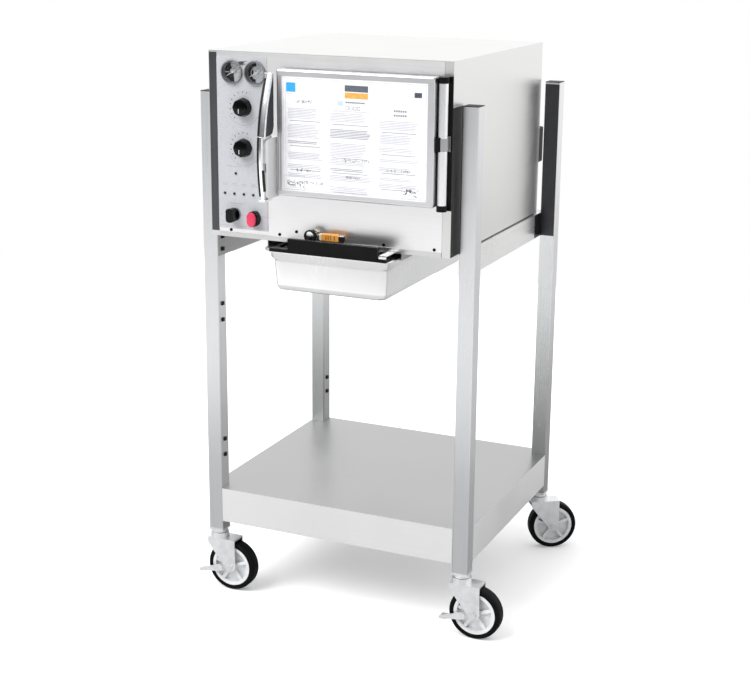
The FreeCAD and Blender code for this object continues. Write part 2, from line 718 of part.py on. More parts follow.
def switch_body(x, z, width):
    """Timer, thermostat or selector behind the panel, bored for its spindle."""
    half = width / 2
    body = round_box(x - half, x + half, switch_front, switch_front + switch_depth, z - half, z + half,
                     3.0, Y_AXIS)
    return body.cut(rod(spindle_radius, V(x, switch_front, z), Y_AXIS, spindle_end - switch_front))


save("timer_knob", knob(knob_x, upper_knob_z, knob_diameter / 2, knob_depth))
save("thermostat_knob", knob(knob_x, lower_knob_z, knob_diameter / 2, knob_depth))
selector_proud = 23.0
selector = rod(14.5, V(selector_x, knob_back - 3.0, selector_z), Y_AXIS, 3.0)
selector = selector.fuse(round_box(selector_x - 9.5, selector_x + 9.5,
                                   knob_back - selector_proud, knob_back - 1.0,
                                   selector_z - 16.0, selector_z + 16.0, 7.0, Y_AXIS))
selector = selector.fuse(rod(spindle_radius - running, V(selector_x, knob_back, selector_z), Y_AXIS,
                             spindle_end - 1.0 - knob_back))
save("selector_knob", selector)

button_travel = 3.0
collar_face = panel_face - 15.0
button_half_width = 11.0
button_half_height = 16.5
button_radius = 10.2
button_thick = 5.0
collar = round_box(button_x - button_half_width - 1.5, button_x + button_half_width + 1.5, collar_face,
                   panel_face, button_z - button_half_height - 1.0, button_z + button_half_height + 1.0,
                   button_half_width, Y_AXIS)
collar = collar.fuse(rod(collar_radius, V(button_x, collar_face, button_z), Y_AXIS,
                         switch_front - collar_face))
collar = collar.fuse(round_box(button_x - 19.0, button_x + 19.0, switch_front, switch_front + switch_depth,
                               button_z - 19.0, button_z + 19.0, 3.0, Y_AXIS))
collar = collar.cut(rod(button_radius + fit_gap, V(button_x, collar_face, button_z), Y_AXIS, 24.0))
save("control_switches", switch_body(knob_x, upper_knob_z, 54.0), switch_body(knob_x, lower_knob_z, 54.0),
     switch_body(selector_x, selector_z, 28.0), collar)
button_back = collar_face - button_travel - 1.0
button = round_box(button_x - button_half_width, button_x + button_half_width, button_back - button_thick,
                   button_back, button_z - button_half_height, button_z + button_half_height,
                   button_half_width - 0.2, Y_AXIS)
button = button.makeFillet(1.5, [edge for edge in button.Edges if edge.BoundBox.YMax < button_back - 1.0])
button = button.fuse(rod(button_radius, V(button_x, button_back, button_z), Y_AXIS, 18.0))
save("power_button", button)


def lamp(x, z):
    """Indicator lens: a short rod with a domed end."""
    lens = rod(lamp_radius, V(x, panel_face - 2.4, z), Y_AXIS, 12.0)
    return lens.makeFillet(1.6, [edge for edge in lens.Edges if edge.BoundBox.YMax < panel_face - 2.0])


save("indicator_lamps", *[lamp(x, z) for x, z in lamps])

# ---- door ----------------------------------------------------------------------------------------
seal_gap = 0.3
gasket_thick = 8.0
gasket_width = 12.0
skin = 1.2
liner_face = cab_front - seal_gap - gasket_thick
shell = round_box(door_left, door_right, door_face, liner_face, door_bottom, door_top, 5.0, Y_AXIS)
front_edges = [edge for edge in shell.Edges if edge.BoundBox.YMax < door_face + 0.1]
shell = shell.makeFillet(4.0, front_edges)
shell = shell.cut(block(door_left + skin, door_right - skin, door_face + skin, liner_face,
                        door_bottom + skin, door_top - skin))
save("door_skin", shell)

liner_in = skin + loose
liner = block(door_left + liner_in, door_right - liner_in, liner_face - skin, liner_face,
              door_bottom + liner_in, door_top - liner_in)
save("door_liner", liner)

gasket_in = 2.5
gasket = block(door_left + gasket_in, door_right - gasket_in, liner_face, liner_face + gasket_thick,
               door_bottom + gasket_in, door_top - gasket_in)
gasket_hole = gasket_in + gasket_width
gasket = gasket.cut(block(door_left + gasket_hole, door_right - gasket_hole, liner_face,
                          liner_face + gasket_thick, door_bottom + gasket_hole, door_top - gasket_hole))
save("door_gasket", gasket)

placard_thick = 0.4
placard = round_box(door_left + 15.0, door_right - 15.0, door_face - placard_thick, door_face,
                    door_bottom + 13.0, door_top - 14.0, 3.0, Y_AXIS)
save("door_placard", placard)

# ---- door hinge ----------------------------------------------------------------------------------
hinge_offset = 12.5         # hinge axis beyond the door's edge
hinge_x = door_right + hinge_offset
hinge_y = cab_front - 14.0
hinge_bar_radius = 10.5
hinge_plate = 3.0
knuckle_radius = 11.5
knuckle_height = 13.0
hinge_pin = 4.0
pin_depth = 15.0
arm_height = 27.0
arm_bottom = door_bottom + 0.44 * door_height
arm_radius = hinge_offset - loose
hinge_low = door_bottom - 8.0
hinge_high = door_top
bar_low = hinge_low + knuckle_height + fit_gap
bar_high = hinge_high - knuckle_height - fit_gap

bracket = block(door_right, cab_right, cab_front - hinge_plate, cab_front, hinge_low, hinge_high)
bracket = bracket.cut(block(door_right, hinge_x + arm_radius + 1.0, cab_front - hinge_plate, cab_front,
                            arm_bottom - 3.0, arm_bottom + arm_height + 3.0))
for z in (hinge_low, hinge_high - knuckle_height):
    bracket = bracket.fuse(rod(knuckle_radius, V(hinge_x, hinge_y, z), Z_AXIS, knuckle_height))
    bracket = bracket.fuse(block(hinge_x - 8.0, hinge_x + 8.0, hinge_y, cab_front, z, z + knuckle_height))
pin_low = rod(hinge_pin, V(hinge_x, hinge_y, hinge_low), Z_AXIS, knuckle_height + pin_depth)
pin_high = rod(hinge_pin, V(hinge_x, hinge_y, hinge_high - knuckle_height - pin_depth), Z_AXIS,
               knuckle_height + pin_depth)
save("hinge_bracket", bracket.fuse([pin_low, pin_high]))

bar = rod(hinge_bar_radius, V(hinge_x, hinge_y, bar_low), Z_AXIS, bar_high - bar_low)
for z in (bar_low, bar_high - pin_depth - 1.0):
    bar = bar.cut(rod(hinge_pin + running, V(hinge_x, hinge_y, z), Z_AXIS, pin_depth + 1.0))
save("hinge_bar", bar)

arm = rod(arm_radius, V(hinge_x, hinge_y, arm_bottom), Z_AXIS, arm_height)
arm = arm.fuse(block(door_right, hinge_x, hinge_y - arm_radius, hinge_y - 2.0, arm_bottom,
                     arm_bottom + arm_height))
arm = arm.cut(rod(hinge_bar_radius, V(hinge_x, hinge_y, arm_bottom), Z_AXIS, arm_height))
save("hinge_arm", arm)

# ---- latch -----------------------------------------------------------------------------------------
latch_right = door_left - 3.0
latch_left = latch_right - 19.0
latch_x = latch_right - 9.5
latch_y = door_face - 20.0
latch_low = door_bottom - 4.0
latch_high = door_bottom + 130.0
latch_front = door_face - 40.0
latch_back = liner_face - 3.0
latch_pin = 4.0
hook_low = door_bottom + 55.0
hook_height = 20.0
latch_round = 6.0           # the front edges' rounding, which the turning grip passes
lug = round_box(latch_left, latch_right, latch_front, latch_back, latch_low, latch_high, 11.0, X_AXIS)
lug = lug.common(round_box(latch_left, latch_right, latch_front, latch_back + 2 * latch_round,
                           latch_low, latch_high, latch_round))
lug = lug.fuse(block(latch_right - 1.0, door_left, door_face + 6.0, latch_back, latch_low + 14.0,
                     latch_high - 14.0))
lug = lug.cut(block(latch_left, latch_right - 2.5, latch_front, latch_back, hook_low - 1.0,
                    hook_low + hook_height + 1.0))
lug = lug.cut(rod(latch_pin + running, V(latch_x, latch_y, latch_low), Z_AXIS, latch_high - latch_low))
save("latch_base", lug)

grip_right = latch_right - 2.0
grip_left = grip_right - 16.0
grip_thick = 8.0
web_thick = 3.0
ear = 5.0
handle_low = latch_low - fit_gap - ear
handle_high = door_top - 7.0
grip_low_y = door_face - 38.0
grip_mid_y = door_face - 49.0
grip_top_y = door_face - 6.0
grip_mid_z = latch_low + 92.0
shoulder_y = grip_top_y - 27.0
shoulder_z = handle_high - 70.0


def grip_profile(offset):
    """The grip's bowed line, seen from the side, moved back by an offset."""
    low = V(grip_left, grip_low_y + offset, handle_low)
    middle = V(grip_left, grip_mid_y + offset, grip_mid_z)
    high = V(grip_left, grip_top_y + offset, handle_high)
    shoulder = V(grip_left, shoulder_y + offset, shoulder_z)
    lower = Part.Arc(low, V(grip_left, grip_mid_y + 3.5 + offset, (handle_low + grip_mid_z) / 2), middle)
    upper = Part.Arc(middle, V(grip_left, (grip_mid_y + shoulder.y) / 2 - 3.0 + offset / 2,
                               (grip_mid_z + shoulder.z) / 2), shoulder)
    return lower.toShape(), upper.toShape(), Part.LineSegment(shoulder, high).toShape()


front_line = grip_profile(-grip_thick)
back_line = grip_profile(0.0)
closing = [Part.LineSegment(front_line[0].Vertexes[0].Point, back_line[0].Vertexes[0].Point).toShape(),
           Part.LineSegment(front_line[2].Vertexes[-1].Point, back_line[2].Vertexes[-1].Point).toShape()]
grip_wire = Part.Wire(Part.__sortEdges__(list(front_line) + list(back_line) + closing))
grip = Part.Face(grip_wire).extrude(X_AXIS * (grip_right - grip_left))
ear_front = grip_mid_y - 1.0
ear_back = latch_y + 8.0
for z in (handle_low, latch_high + fit_gap):
    grip = grip.fuse(block(grip_left, latch_x + 8.0, ear_front, ear_back, z, z + ear))
web_low = latch_high + fit_gap + ear
web_high = handle_high - 1.0
web_back = door_face - 1.5
web_in = 5.0                # how far the web runs into the grip's thickness
web_left = grip_right - web_thick - 0.5
climb = (web_low - grip_mid_z) / (shoulder_z - grip_mid_z)
web_low_y = grip_mid_y + climb * (shoulder_y - grip_mid_y) - web_in
web_points = [
    V(web_left, web_low_y, web_low),
    V(web_left, shoulder_y - web_in, shoulder_z),
    V(web_left, grip_top_y - web_in, web_high),
    V(web_left, web_back, web_high),
    V(web_left, web_back, web_low),
]
web = outline(web_points, X_AXIS, web_thick)
tab = block(grip_left, latch_right, grip_top_y - grip_thick, grip_top_y, handle_high - 12.0, handle_high)
grip = grip.fuse([web, tab])
handle_pin = rod(latch_pin, V(latch_x, latch_y, handle_low), Z_AXIS, latch_high + fit_gap + ear - handle_low)
save("door_handle", grip.fuse(handle_pin))

hook_tip_x = door_left - 31.0
hook_points = [
    V(latch_x - 2.0, latch_y - 7.5, hook_low),
    V(hook_tip_x, latch_y + 8.0, hook_low),
    V(hook_tip_x, latch_y + 26.0, hook_low),
    V(hook_tip_x + 7.0, latch_y + 26.0, hook_low),
    V(hook_tip_x + 9.0, latch_y + 16.0, hook_low),
    V(latch_x - 2.0, latch_y + 7.5, hook_low),
]
hook = outline(hook_points, Z_AXIS, hook_height)
hook = hook.fuse(rod(6.5, V(latch_x, latch_y, hook_low), Z_AXIS, hook_height))
hook = hook.cut(rod(latch_pin, V(latch_x, latch_y, hook_low), Z_AXIS, hook_height))
save("latch_hook", hook)

strike_right = hook_tip_x - 1.5
strike = block(strike_right - 5.0, strike_right, cab_front - 27.0, cab_front, hook_low - 4.0,
               hook_low + hook_height + 4.0)
strike = strike.fuse(block(strike_right - 5.0, strike_right + 14.0, cab_front - 3.0, cab_front,
                           hook_low - 4.0, hook_low + hook_height + 4.0))
save("latch_strike", strike)

# ---- drain pan, its pull and its runners -----------------------------------------------------------
pan_top = cab_bottom - 12.0
pan_left = pan_offset - pan_width / 2
pan_right = pan_offset + pan_width / 2
pan_front = cab_front - 45.0
pan_back = pan_front + pan_length
rim_thick = 3.0
runner_lip = 8.0
runner_clear = 3.5


def pan_body(top, bottom, inset, draft, radius):
    """Tapered, round-cornered tub between two heights."""
    wires = []
    for z, shrink in ((bottom, inset + draft), (top, inset)):
        x0 = pan_left + pan_rim + shrink
        x1 = pan_right - pan_rim - shrink
        y0 = pan_front + pan_rim + shrink
        y1 = pan_back - pan_rim - shrink
        plate = round_box(x0, x1, y0, y1, z, z + 1.0, radius)
        face = [face for face in plate.Faces if face.BoundBox.ZMax < z + 0.01][0]
        wires.append(face.OuterWire)
    return Part.makeLoft(wires, True, True)


pan_bottom = pan_top - pan_depth
pan_corner = 30.0
pan = pan_body(pan_top, pan_bottom, 0.0, 9.0, pan_corner)
rim = round_box(pan_left, pan_right, pan_front, pan_back, pan_top - rim_thick, pan_top, 14.0)
pan = pan.fuse(rim).cut(pan_body(pan_top, pan_bottom + pan_wall, pan_wall, 9.0, pan_corner - pan_wall))
save("drain_pan", pan)

pull_rail = 8.0
pull_left = pan_left + 32.0
pull_right = pan_right - 6.0
pull_front = pan_front - 12.0
grip_bar_left = pan_offset - 83.0
grip_bar_right = pan_offset + 137.0
pull = block(pull_left, pull_right, pull_front, pan_front + 4.0, pan_top, pan_top + pull_rail)
pull = pull.fuse(block(grip_bar_left, grip_bar_right, pull_front - 2.0, pull_front + 8.0,
                       pan_top + pull_rail, pan_top + 33.0))
for x in (pull_left, pull_right - 8.0):
    pull = pull.fuse(block(x, x + 8.0, pull_front, pan_front + 120.0, pan_top, pan_top + 4.0))
save("pan_pull", pull)


def pan_runner(side):
    """Channel under the cabinet whose lip carries the pan's rim."""
    wall = pan_offset + pan_width / 2 + runner_clear
    y0 = cab_front + 6.0
    y1 = pan_back + 10.0
    lip_top = pan_top - rim_thick - fit_gap
    runner = block(wall, wall + sheet, y0, y1, lip_top - sheet, cab_bottom)
    runner = runner.fuse(block(wall - runner_lip, wall + sheet, y0, y1, lip_top - sheet, lip_top))
    runner = runner.fuse(block(wall, wall + 14.0, y0, y1, cab_bottom - sheet, cab_bottom))
    runner = runner.removeSplitter()
    return runner if side > 0 else runner.mirror(V(pan_offset, 0, 0), X_AXIS)


save("pan_runners", pan_runner(-1), pan_runner(1))
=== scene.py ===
"""Looks of the pan steamer on its mobile stand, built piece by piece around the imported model."""
import json
import math
import random

import bmesh
import bpy
from mathutils import Matrix, Vector


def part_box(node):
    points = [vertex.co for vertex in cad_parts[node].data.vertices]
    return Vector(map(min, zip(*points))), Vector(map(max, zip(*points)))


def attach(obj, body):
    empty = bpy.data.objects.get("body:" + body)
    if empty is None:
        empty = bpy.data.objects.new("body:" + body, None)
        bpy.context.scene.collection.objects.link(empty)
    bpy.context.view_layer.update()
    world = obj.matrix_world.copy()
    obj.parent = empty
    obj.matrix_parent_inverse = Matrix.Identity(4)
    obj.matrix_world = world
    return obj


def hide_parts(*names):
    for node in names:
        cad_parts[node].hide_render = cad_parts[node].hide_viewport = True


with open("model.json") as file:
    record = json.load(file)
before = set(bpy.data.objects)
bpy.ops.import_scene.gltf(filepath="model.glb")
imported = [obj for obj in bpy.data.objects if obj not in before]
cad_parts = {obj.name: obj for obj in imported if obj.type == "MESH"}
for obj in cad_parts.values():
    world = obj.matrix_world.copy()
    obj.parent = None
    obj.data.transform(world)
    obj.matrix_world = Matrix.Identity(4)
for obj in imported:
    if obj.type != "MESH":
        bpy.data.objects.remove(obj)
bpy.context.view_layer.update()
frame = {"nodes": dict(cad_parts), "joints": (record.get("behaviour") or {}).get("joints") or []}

# ---- studio --------------------------------------------------------------------------------------
# A pale painted floor, a white sky and one wide soft light from the front left. The steel mirrors its
# surroundings, so in reflections the sky is dark round the horizon in front of the object and bright
# behind it, and the floor is dimmer than it looks. Light Path does both, on the sky and the floor only.
scene = bpy.context.scene
scene.view_settings.view_transform = "Standard"

lens_mm = 72.79
camera_place = Vector((1.4574, -3.3551, 1.6225))
camera_yaw = math.radians(23.93)
camera_pitch = math.radians(15.40)
camera_roll = math.radians(0.50)
ahead = Vector((-math.sin(camera_yaw) * math.cos(camera_pitch),
                math.cos(camera_yaw) * math.cos(camera_pitch), -math.sin(camera_pitch)))
level = Vector((math.cos(camera_yaw), math.sin(camera_yaw), 0.0))
upright = level.cross(ahead)
right = level * math.cos(camera_roll) + upright * math.sin(camera_roll)
top = upright * math.cos(camera_roll) - level * math.sin(camera_roll)
camera_data = bpy.data.cameras.new("camera")
camera_data.lens = lens_mm
camera = bpy.data.objects.new("camera", camera_data)
scene.collection.objects.link(camera)
turned_to = Matrix((right, top, -ahead)).transposed().to_4x4()
camera.matrix_world = Matrix.Translation(camera_place) @ turned_to
scene.camera = camera


def linear(code):
    """An sRGB hex colour as a linear RGBA colour."""
    values = [int(code[step:step + 2], 16) / 255 for step in (1, 3, 5)]
    return [((v + 0.055) / 1.055) ** 2.4 if v > 0.04045 else v / 12.92 for v in values] + [1.0]


def add(tree, kind, inputs=None, **settings):
    """Add one node: settings are its own properties, inputs are values or sockets to link."""
    node = tree.nodes.new("ShaderNode" + kind)
    for name, value in settings.items():
        setattr(node, name, value)
    for name, value in (inputs or {}).items():
        if isinstance(value, bpy.types.NodeSocket):
            tree.links.new(value, node.inputs[name])
        else:
            node.inputs[name].default_value = value
    return node


world = bpy.data.worlds.new("studio")
world.use_nodes = True
scene.world = world
sky = world.node_tree
sky.nodes.clear()
place = add(sky, "TexCoord")
split = add(sky, "SeparateXYZ", {"Vector": place.outputs["Generated"]})
towards = add(sky, "VectorMath", {0: place.outputs["Generated"], 1: (0.40, 0.92, 0.0)},
              operation="DOT_PRODUCT")
behind = add(sky, "MapRange", {"Value": towards.outputs["Value"], "From Min": -0.35, "From Max": 0.35},
             interpolation_type="SMOOTHSTEP")
front_ground = add(sky, "MapRange", {"Value": split.outputs["Z"], "From Min": -0.24, "From Max": -0.05,
                                     "To Min": 1.45, "To Max": 0.20}, interpolation_type="SMOOTHSTEP")
front_sky = add(sky, "MapRange", {"Value": split.outputs["Z"], "From Min": 0.10, "From Max": 0.60,
                                  "To Min": 0.0, "To Max": 0.75}, interpolation_type="SMOOTHSTEP")
front = add(sky, "Math", {0: front_ground.outputs[0], 1: front_sky.outputs[0]}, operation="ADD")
back = add(sky, "MapRange", {"Value": split.outputs["Z"], "From Min": -0.30, "From Max": -0.11,
                             "To Min": 0.30, "To Max": 1.16}, interpolation_type="SMOOTHSTEP")
glow = add(sky, "Mix", {"Factor": behind.outputs[0], "A": front.outputs[0], "B": back.outputs[0]},
           data_type="FLOAT")
sky_light = add(sky, "Background", {"Color": linear("#FFFFFF"), "Strength": glow.outputs[0]})
sky_plain = add(sky, "Background", {"Color": linear("#FFFFFF"), "Strength": 1.0})
seen = add(sky, "LightPath")
sky_mix = add(sky, "MixShader", {0: seen.outputs["Is Camera Ray"], 1: sky_light.outputs[0],
                                 2: sky_plain.outputs[0]})
add(sky, "OutputWorld", {"Surface": sky_mix.outputs[0]})

sun_data = bpy.data.lights.new("soft_key", "SUN")
sun_data.energy = 2.7
sun_data.angle = math.radians(40)
sun = bpy.data.objects.new("soft_key", sun_data)
scene.collection.objects.link(sun)
sun.rotation_euler = Vector((0.40, 0.52, -0.75)).to_track_quat("-Z", "Y").to_euler()


def material(name, **values):
    """A new material, its node tree and its shader, with even values set on the shader's own sockets."""
    made = bpy.data.materials.new(name)
    made.use_nodes = True
    tree = made.node_tree
    shader = tree.nodes["Principled BSDF"]
    for socket, value in values.items():
        shader.inputs[socket.replace("_", " ")].default_value = value
    return made, tree, shader


def tones(tree, shader, factor, dark, light, spread=0.18):
    """Colour that drifts between two close tones as a pattern goes from low to high."""
    ramp = add(tree, "ValToRGB", {"Fac": factor})
    ramp.color_ramp.elements[0].position = 0.5 - spread
    ramp.color_ramp.elements[0].color = linear(dark)
    ramp.color_ramp.elements[1].position = 0.5 + spread
    ramp.color_ramp.elements[1].color = linear(light)
    tree.links.new(ramp.outputs["Color"], shader.inputs["Base Color"])


def dim(tree, shader, share):
    """Scale the shader's colour, already linked, by a share that varies over the surface."""
    colour = shader.inputs["Base Color"].links[0].from_socket
    dimmed = add(tree, "VectorMath", {0: colour, "Scale": share}, operation="SCALE")
    tree.links.new(dimmed.outputs["Vector"], shader.inputs["Base Color"])


floor_cloud_mm = 900.0
floor_half = 3.2
floor_drop = 0.0005
near_share = 0.55
rear_share = 0.48
shadow_glow = 0.22
floor_paint, tree, shader = material("matt_white_floor_paint", Roughness=0.92)
place = add(tree, "TexCoord")
cloud = add(tree, "TexNoise", {"Vector": place.outputs["Object"], "Scale": 1000 / floor_cloud_mm,
                               "Detail": 2.0})
tones(tree, shader, cloud.outputs["Fac"], "#F0F0F0", "#F5F5F5")
# Mirror-like rays see the floor dimmer near the object and behind it, and the camera sees a small
# glow that lifts the shadows.
away = add(tree, "VectorMath", {0: place.outputs["Object"]}, operation="LENGTH")
near = add(tree, "MapRange", {"Value": away.outputs["Value"], "From Min": 1.35, "From Max": 2.5,
                              "To Min": near_share}, interpolation_type="SMOOTHSTEP")
depth = add(tree, "SeparateXYZ", {"Vector": place.outputs["Object"]})
rear = add(tree, "MapRange", {"Value": depth.outputs["Y"], "From Min": -0.3, "From Max": 0.3})
shaded = add(tree, "Mix", {"Factor": rear.outputs[0], "A": near.outputs[0], "B": rear_share},
             data_type="FLOAT")
path = add(tree, "LightPath")
mirrored = add(tree, "Mix", {"Factor": path.outputs["Is Glossy Ray"], "A": 1.0, "B": shaded.outputs[0]},
               data_type="FLOAT")
dim(tree, shader, mirrored.outputs[0])
shadow_fill = add(tree, "Math", {0: path.outputs["Is Camera Ray"], 1: shadow_glow}, operation="MULTIPLY")
shader.inputs["Emission Color"].default_value = linear("#FFFFFF")
tree.links.new(shadow_fill.outputs[0], shader.inputs["Emission Strength"])
floor_mesh = bpy.data.meshes.new("floor")
floor_mesh.from_pydata([(-floor_half, -floor_half, 0), (floor_half, -floor_half, 0),
                        (floor_half, floor_half, 0), (-floor_half, floor_half, 0)], [], [(0, 1, 2, 3)])
floor_mesh.materials.append(floor_paint)
floor = bpy.data.objects.new("floor", floor_mesh)
scene.collection.objects.link(floor)
floor.location.z = -floor_drop

# ---- stand legs ----------------------------------------------------------------------------------
# Four 38 mm square tubes of austenitic stainless, belt-polished along their length to a satin finish.
# The belt's scratches are about 0.1 mm wide, too fine to show, so they are drawn as faint streaks
# 3 mm wide. Handling adds soft clouds of slightly different gloss.
leg_size = 0.038
streak_mm = 3.0
streak_length_mm = 320.0
cloud_mm = 210.0


def satin_steel(name, grain, dark, light, rough=0.30, streaks=0.5, dull=None):
    """Satin stainless with polishing streaks along X, Y or Z. The last argument, a share of the tone and two
    heights, paints shade: the steel is dimmed to that share below the first height, fading out at the
    second."""
    made, tree, shader = material(name, Metallic=1.0)
    place = add(tree, "TexCoord")
    stretch = [1000 / streak_mm] * 3
    stretch["XYZ".index(grain)] = 1000 / streak_length_mm
    along = add(tree, "Mapping", {"Vector": place.outputs["Object"], "Scale": stretch})
    streak = add(tree, "TexNoise", {"Vector": along.outputs[0], "Scale": 1.0, "Detail": 3.0,
                                    "Roughness": 0.6})
    cloud = add(tree, "TexNoise", {"Vector": place.outputs["Object"], "Scale": 1000 / cloud_mm,
                                   "Detail": 3.0})
    blend = add(tree, "Mix", {"Factor": streaks, "A": cloud.outputs["Fac"], "B": streak.outputs["Fac"]},
                data_type="FLOAT")
    tones(tree, shader, blend.outputs[0], dark, light)
    # Painted shade: a height band that dims the steel's tone.
    if dull:
        share, film_low, film_high = dull
        height = add(tree, "SeparateXYZ", {"Vector": place.outputs["Object"]})
        kept = add(tree, "MapRange", {"Value": height.outputs["Z"], "From Min": film_low,
                                      "From Max": film_high, "To Min": share},
                   interpolation_type="SMOOTHSTEP")
        dim(tree, shader, kept.outputs[0])
    gloss = add(tree, "MapRange", {"Value": blend.outputs[0], "From Min": 0.35, "From Max": 0.65,
                                   "To Min": rough - 0.04, "To Max": rough + 0.05})
    bump = add(tree, "Bump", {"Height": streak.outputs["Fac"], "Strength": 0.05, "Distance": 0.0003})
    tree.links.new(gloss.outputs[0], shader.inputs["Roughness"])
    tree.links.new(bump.outputs[0], shader.inputs["Normal"])
    return made


def finish_nodes(nodes, finish, edge=0.0):
    """Give CAD nodes a finish and, where edge is set, edges softened to that radius in metres."""
    for name in nodes:
        node = frame["nodes"][name]
        node.data.materials.clear()
        node.data.materials.append(finish)
        if edge:
            bevel = node.modifiers.new("soft_edge", "BEVEL")
            bevel.width = edge
            bevel.segments = 2
            bevel.limit_method = "ANGLE"
            bevel.angle_limit = math.radians(50)
            bevel.harden_normals = True


# Painted shade dims the legs low down: the front ones a little, the rear ones to about half.
front_leg_steel = satin_steel("belt_polished_stainless_tube", "Z", "#D3D4D6", "#DEDFE0",
                              dull=(0.84, 0.30, 0.60))
rear_leg_steel = satin_steel("belt_polished_rear_tube", "Z", "#DBDCDD", "#E6E7E8",
                             dull=(0.52, 0.32, 0.78))
finish_nodes(["front_legs"], front_leg_steel)
finish_nodes(["rear_legs"], rear_leg_steel)


def slab(x0, x1, y0, y1, z0, z1):
    """Points and faces of one upright block."""
    points = [(x, y, z) for z in (z0, z1) for x, y in ((x0, y0), (x1, y0), (x1, y1), (x0, y1))]
    return points, [(3, 2, 1, 0), (4, 5, 6, 7), (0, 1, 5, 4), (1, 2, 6, 5), (2, 3, 7, 6), (3, 0, 4, 7)]


def piece(name, parts, finishes, body, edge=0.0, smooth=35.0, tints=None):
    """One object from closed parts, each points and faces. It takes a finish and rides on a body."""
    mesh = bpy.data.meshes.new(name)
    points = []
    faces = []
    marks = []
    for number, (part_points, part_faces) in enumerate(parts):
        start = len(points)
        points += [tuple(point) for point in part_points]
        faces += [tuple(start + index for index in face) for face in part_faces]
        marks += [tints[number] if tints else 0] * len(part_faces)
    mesh.from_pydata(points, [], faces)
    for finish in finishes:
        mesh.materials.append(finish)
    mesh.polygons.foreach_set("material_index", marks)
    turned_out = bmesh.new()
    turned_out.from_mesh(mesh)
    bmesh.ops.recalc_face_normals(turned_out, faces=turned_out.faces)
    turned_out.to_mesh(mesh)
    turned_out.free()
    mesh.polygons.foreach_set("use_smooth", [True] * len(mesh.polygons))
    mesh.set_sharp_from_angle(angle=math.radians(smooth))
    made = bpy.data.objects.new(name, mesh)
    scene.collection.objects.link(made)
    if edge:
        bevel = made.modifiers.new("soft_edge", "BEVEL")
        bevel.width = edge
        bevel.segments = 3
        bevel.limit_method = "ANGLE"
        bevel.angle_limit = math.radians(40)
        bevel.harden_normals = True
    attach(made, body)
    return made


# ---- rear leg shade strips -----------------------------------------------------------------------
# Dark satin stainless strips on the front faces of the rear legs, beside the cabinet: painted shade,
# for the dark reflection of the cabinet's shaded back on these faces.
guard_thick = 0.0006
guard_side = 0.001
# Painted shade: dark steel where the rear legs' front faces mirror the cabinet's shadow.
oxide_steel = satin_steel("dark_painted_shade_strip", "Z", "#46464A", "#525256", 0.36)
leg_low, leg_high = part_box("rear_legs")
rail_low, rail_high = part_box("cabinet_rails")
guard_low = rail_low.z + 0.002
guard_high = leg_high.z - 0.004
guards = []
for left in (leg_low.x, leg_high.x - leg_size):
    guards.append(slab(left + guard_side, left + leg_size - guard_side, leg_low.y - guard_thick, leg_low.y,
                       guard_low, guard_high))
piece("rear_leg_painted_shade", guards, [oxide_steel], "stand")

# ---- leg plugs and bolts -------------------------------------------------------------------------
# Moulded nylon plugs close the tops of the legs, and black screws hold the rails and the shelf.
# Spark-eroded moulds leave a dull grain on nylon, drawn 1.5 mm wide so that it shows.
nylon_grain_mm = 1.5
tone_drift_mm = 28.57


def moulded(name, dark, light, rough, grain_mm=nylon_grain_mm, relief=0.12, **values):
    """Moulded plastic or rubber: a fine grain in gloss and height, and a slow drift in tone."""
    made, tree, shader = material(name, **values)
    place = add(tree, "TexCoord")
    fine = add(tree, "TexNoise", {"Vector": place.outputs["Object"], "Scale": 1000 / grain_mm,
                                  "Detail": 2.0})
    drift = add(tree, "TexNoise", {"Vector": place.outputs["Object"], "Scale": 1000 / tone_drift_mm,
                                   "Detail": 2.0})
    tones(tree, shader, drift.outputs["Fac"], dark, light)
    gloss = add(tree, "MapRange", {"Value": fine.outputs["Fac"], "To Min": rough - 0.06,
                                   "To Max": rough + 0.06})
    bump = add(tree, "Bump", {"Height": fine.outputs["Fac"], "Strength": relief, "Distance": 0.0002})
    tree.links.new(gloss.outputs[0], shader.inputs["Roughness"])
    tree.links.new(bump.outputs[0], shader.inputs["Normal"])
    return made


black_nylon = moulded("moulded_black_nylon", "#0F0F11", "#18181B", 0.50, Specular_IOR_Level=0.3)
black_coat = moulded("black_powder_coated_steel", "#060607", "#0C0C0E", 0.38, Specular_IOR_Level=0.14)
finish_nodes(["leg_top_plugs"], black_nylon, 0.0008)
finish_nodes(["frame_bolts"], black_coat)

# ---- rails and shelf -----------------------------------------------------------------------------
# Folded 1.5 mm stainless sheet. The rails carry the cabinet, and the left one, in the cabinet's shade, is
# painted darker, at less than half of the right one's tone. The shelf is one sheet with its edges turned
# down, polished from side to side, and its top is painted darker than its sides: painted shade from the
# cabinet above.
left_rail_share = 0.42
shelf_top_share = 0.50
rail_steel = satin_steel("satin_stainless_rail", "Y", "#E9E9E8", "#F0F0EF")
tree = rail_steel.node_tree
across = add(tree, "SeparateXYZ", {"Vector": add(tree, "TexCoord").outputs["Object"]})
# Painted shade: the left rail, under the cabinet, is dimmed to less than half of the right one's tone.
duller = add(tree, "MapRange", {"Value": across.outputs["X"], "From Min": -0.1, "From Max": 0.1,
                                "To Min": left_rail_share})
dim(tree, tree.nodes["Principled BSDF"], duller.outputs[0])
finish_nodes(["cabinet_rails"], rail_steel, 0.0008)
shelf_steel = satin_steel("satin_stainless_shelf", "X", "#F3F3F3", "#FAFAFA", 0.36, 0.35)
tree = shelf_steel.node_tree
facing = add(tree, "NewGeometry")
lift = add(tree, "SeparateXYZ", {"Vector": facing.outputs["Normal"]})
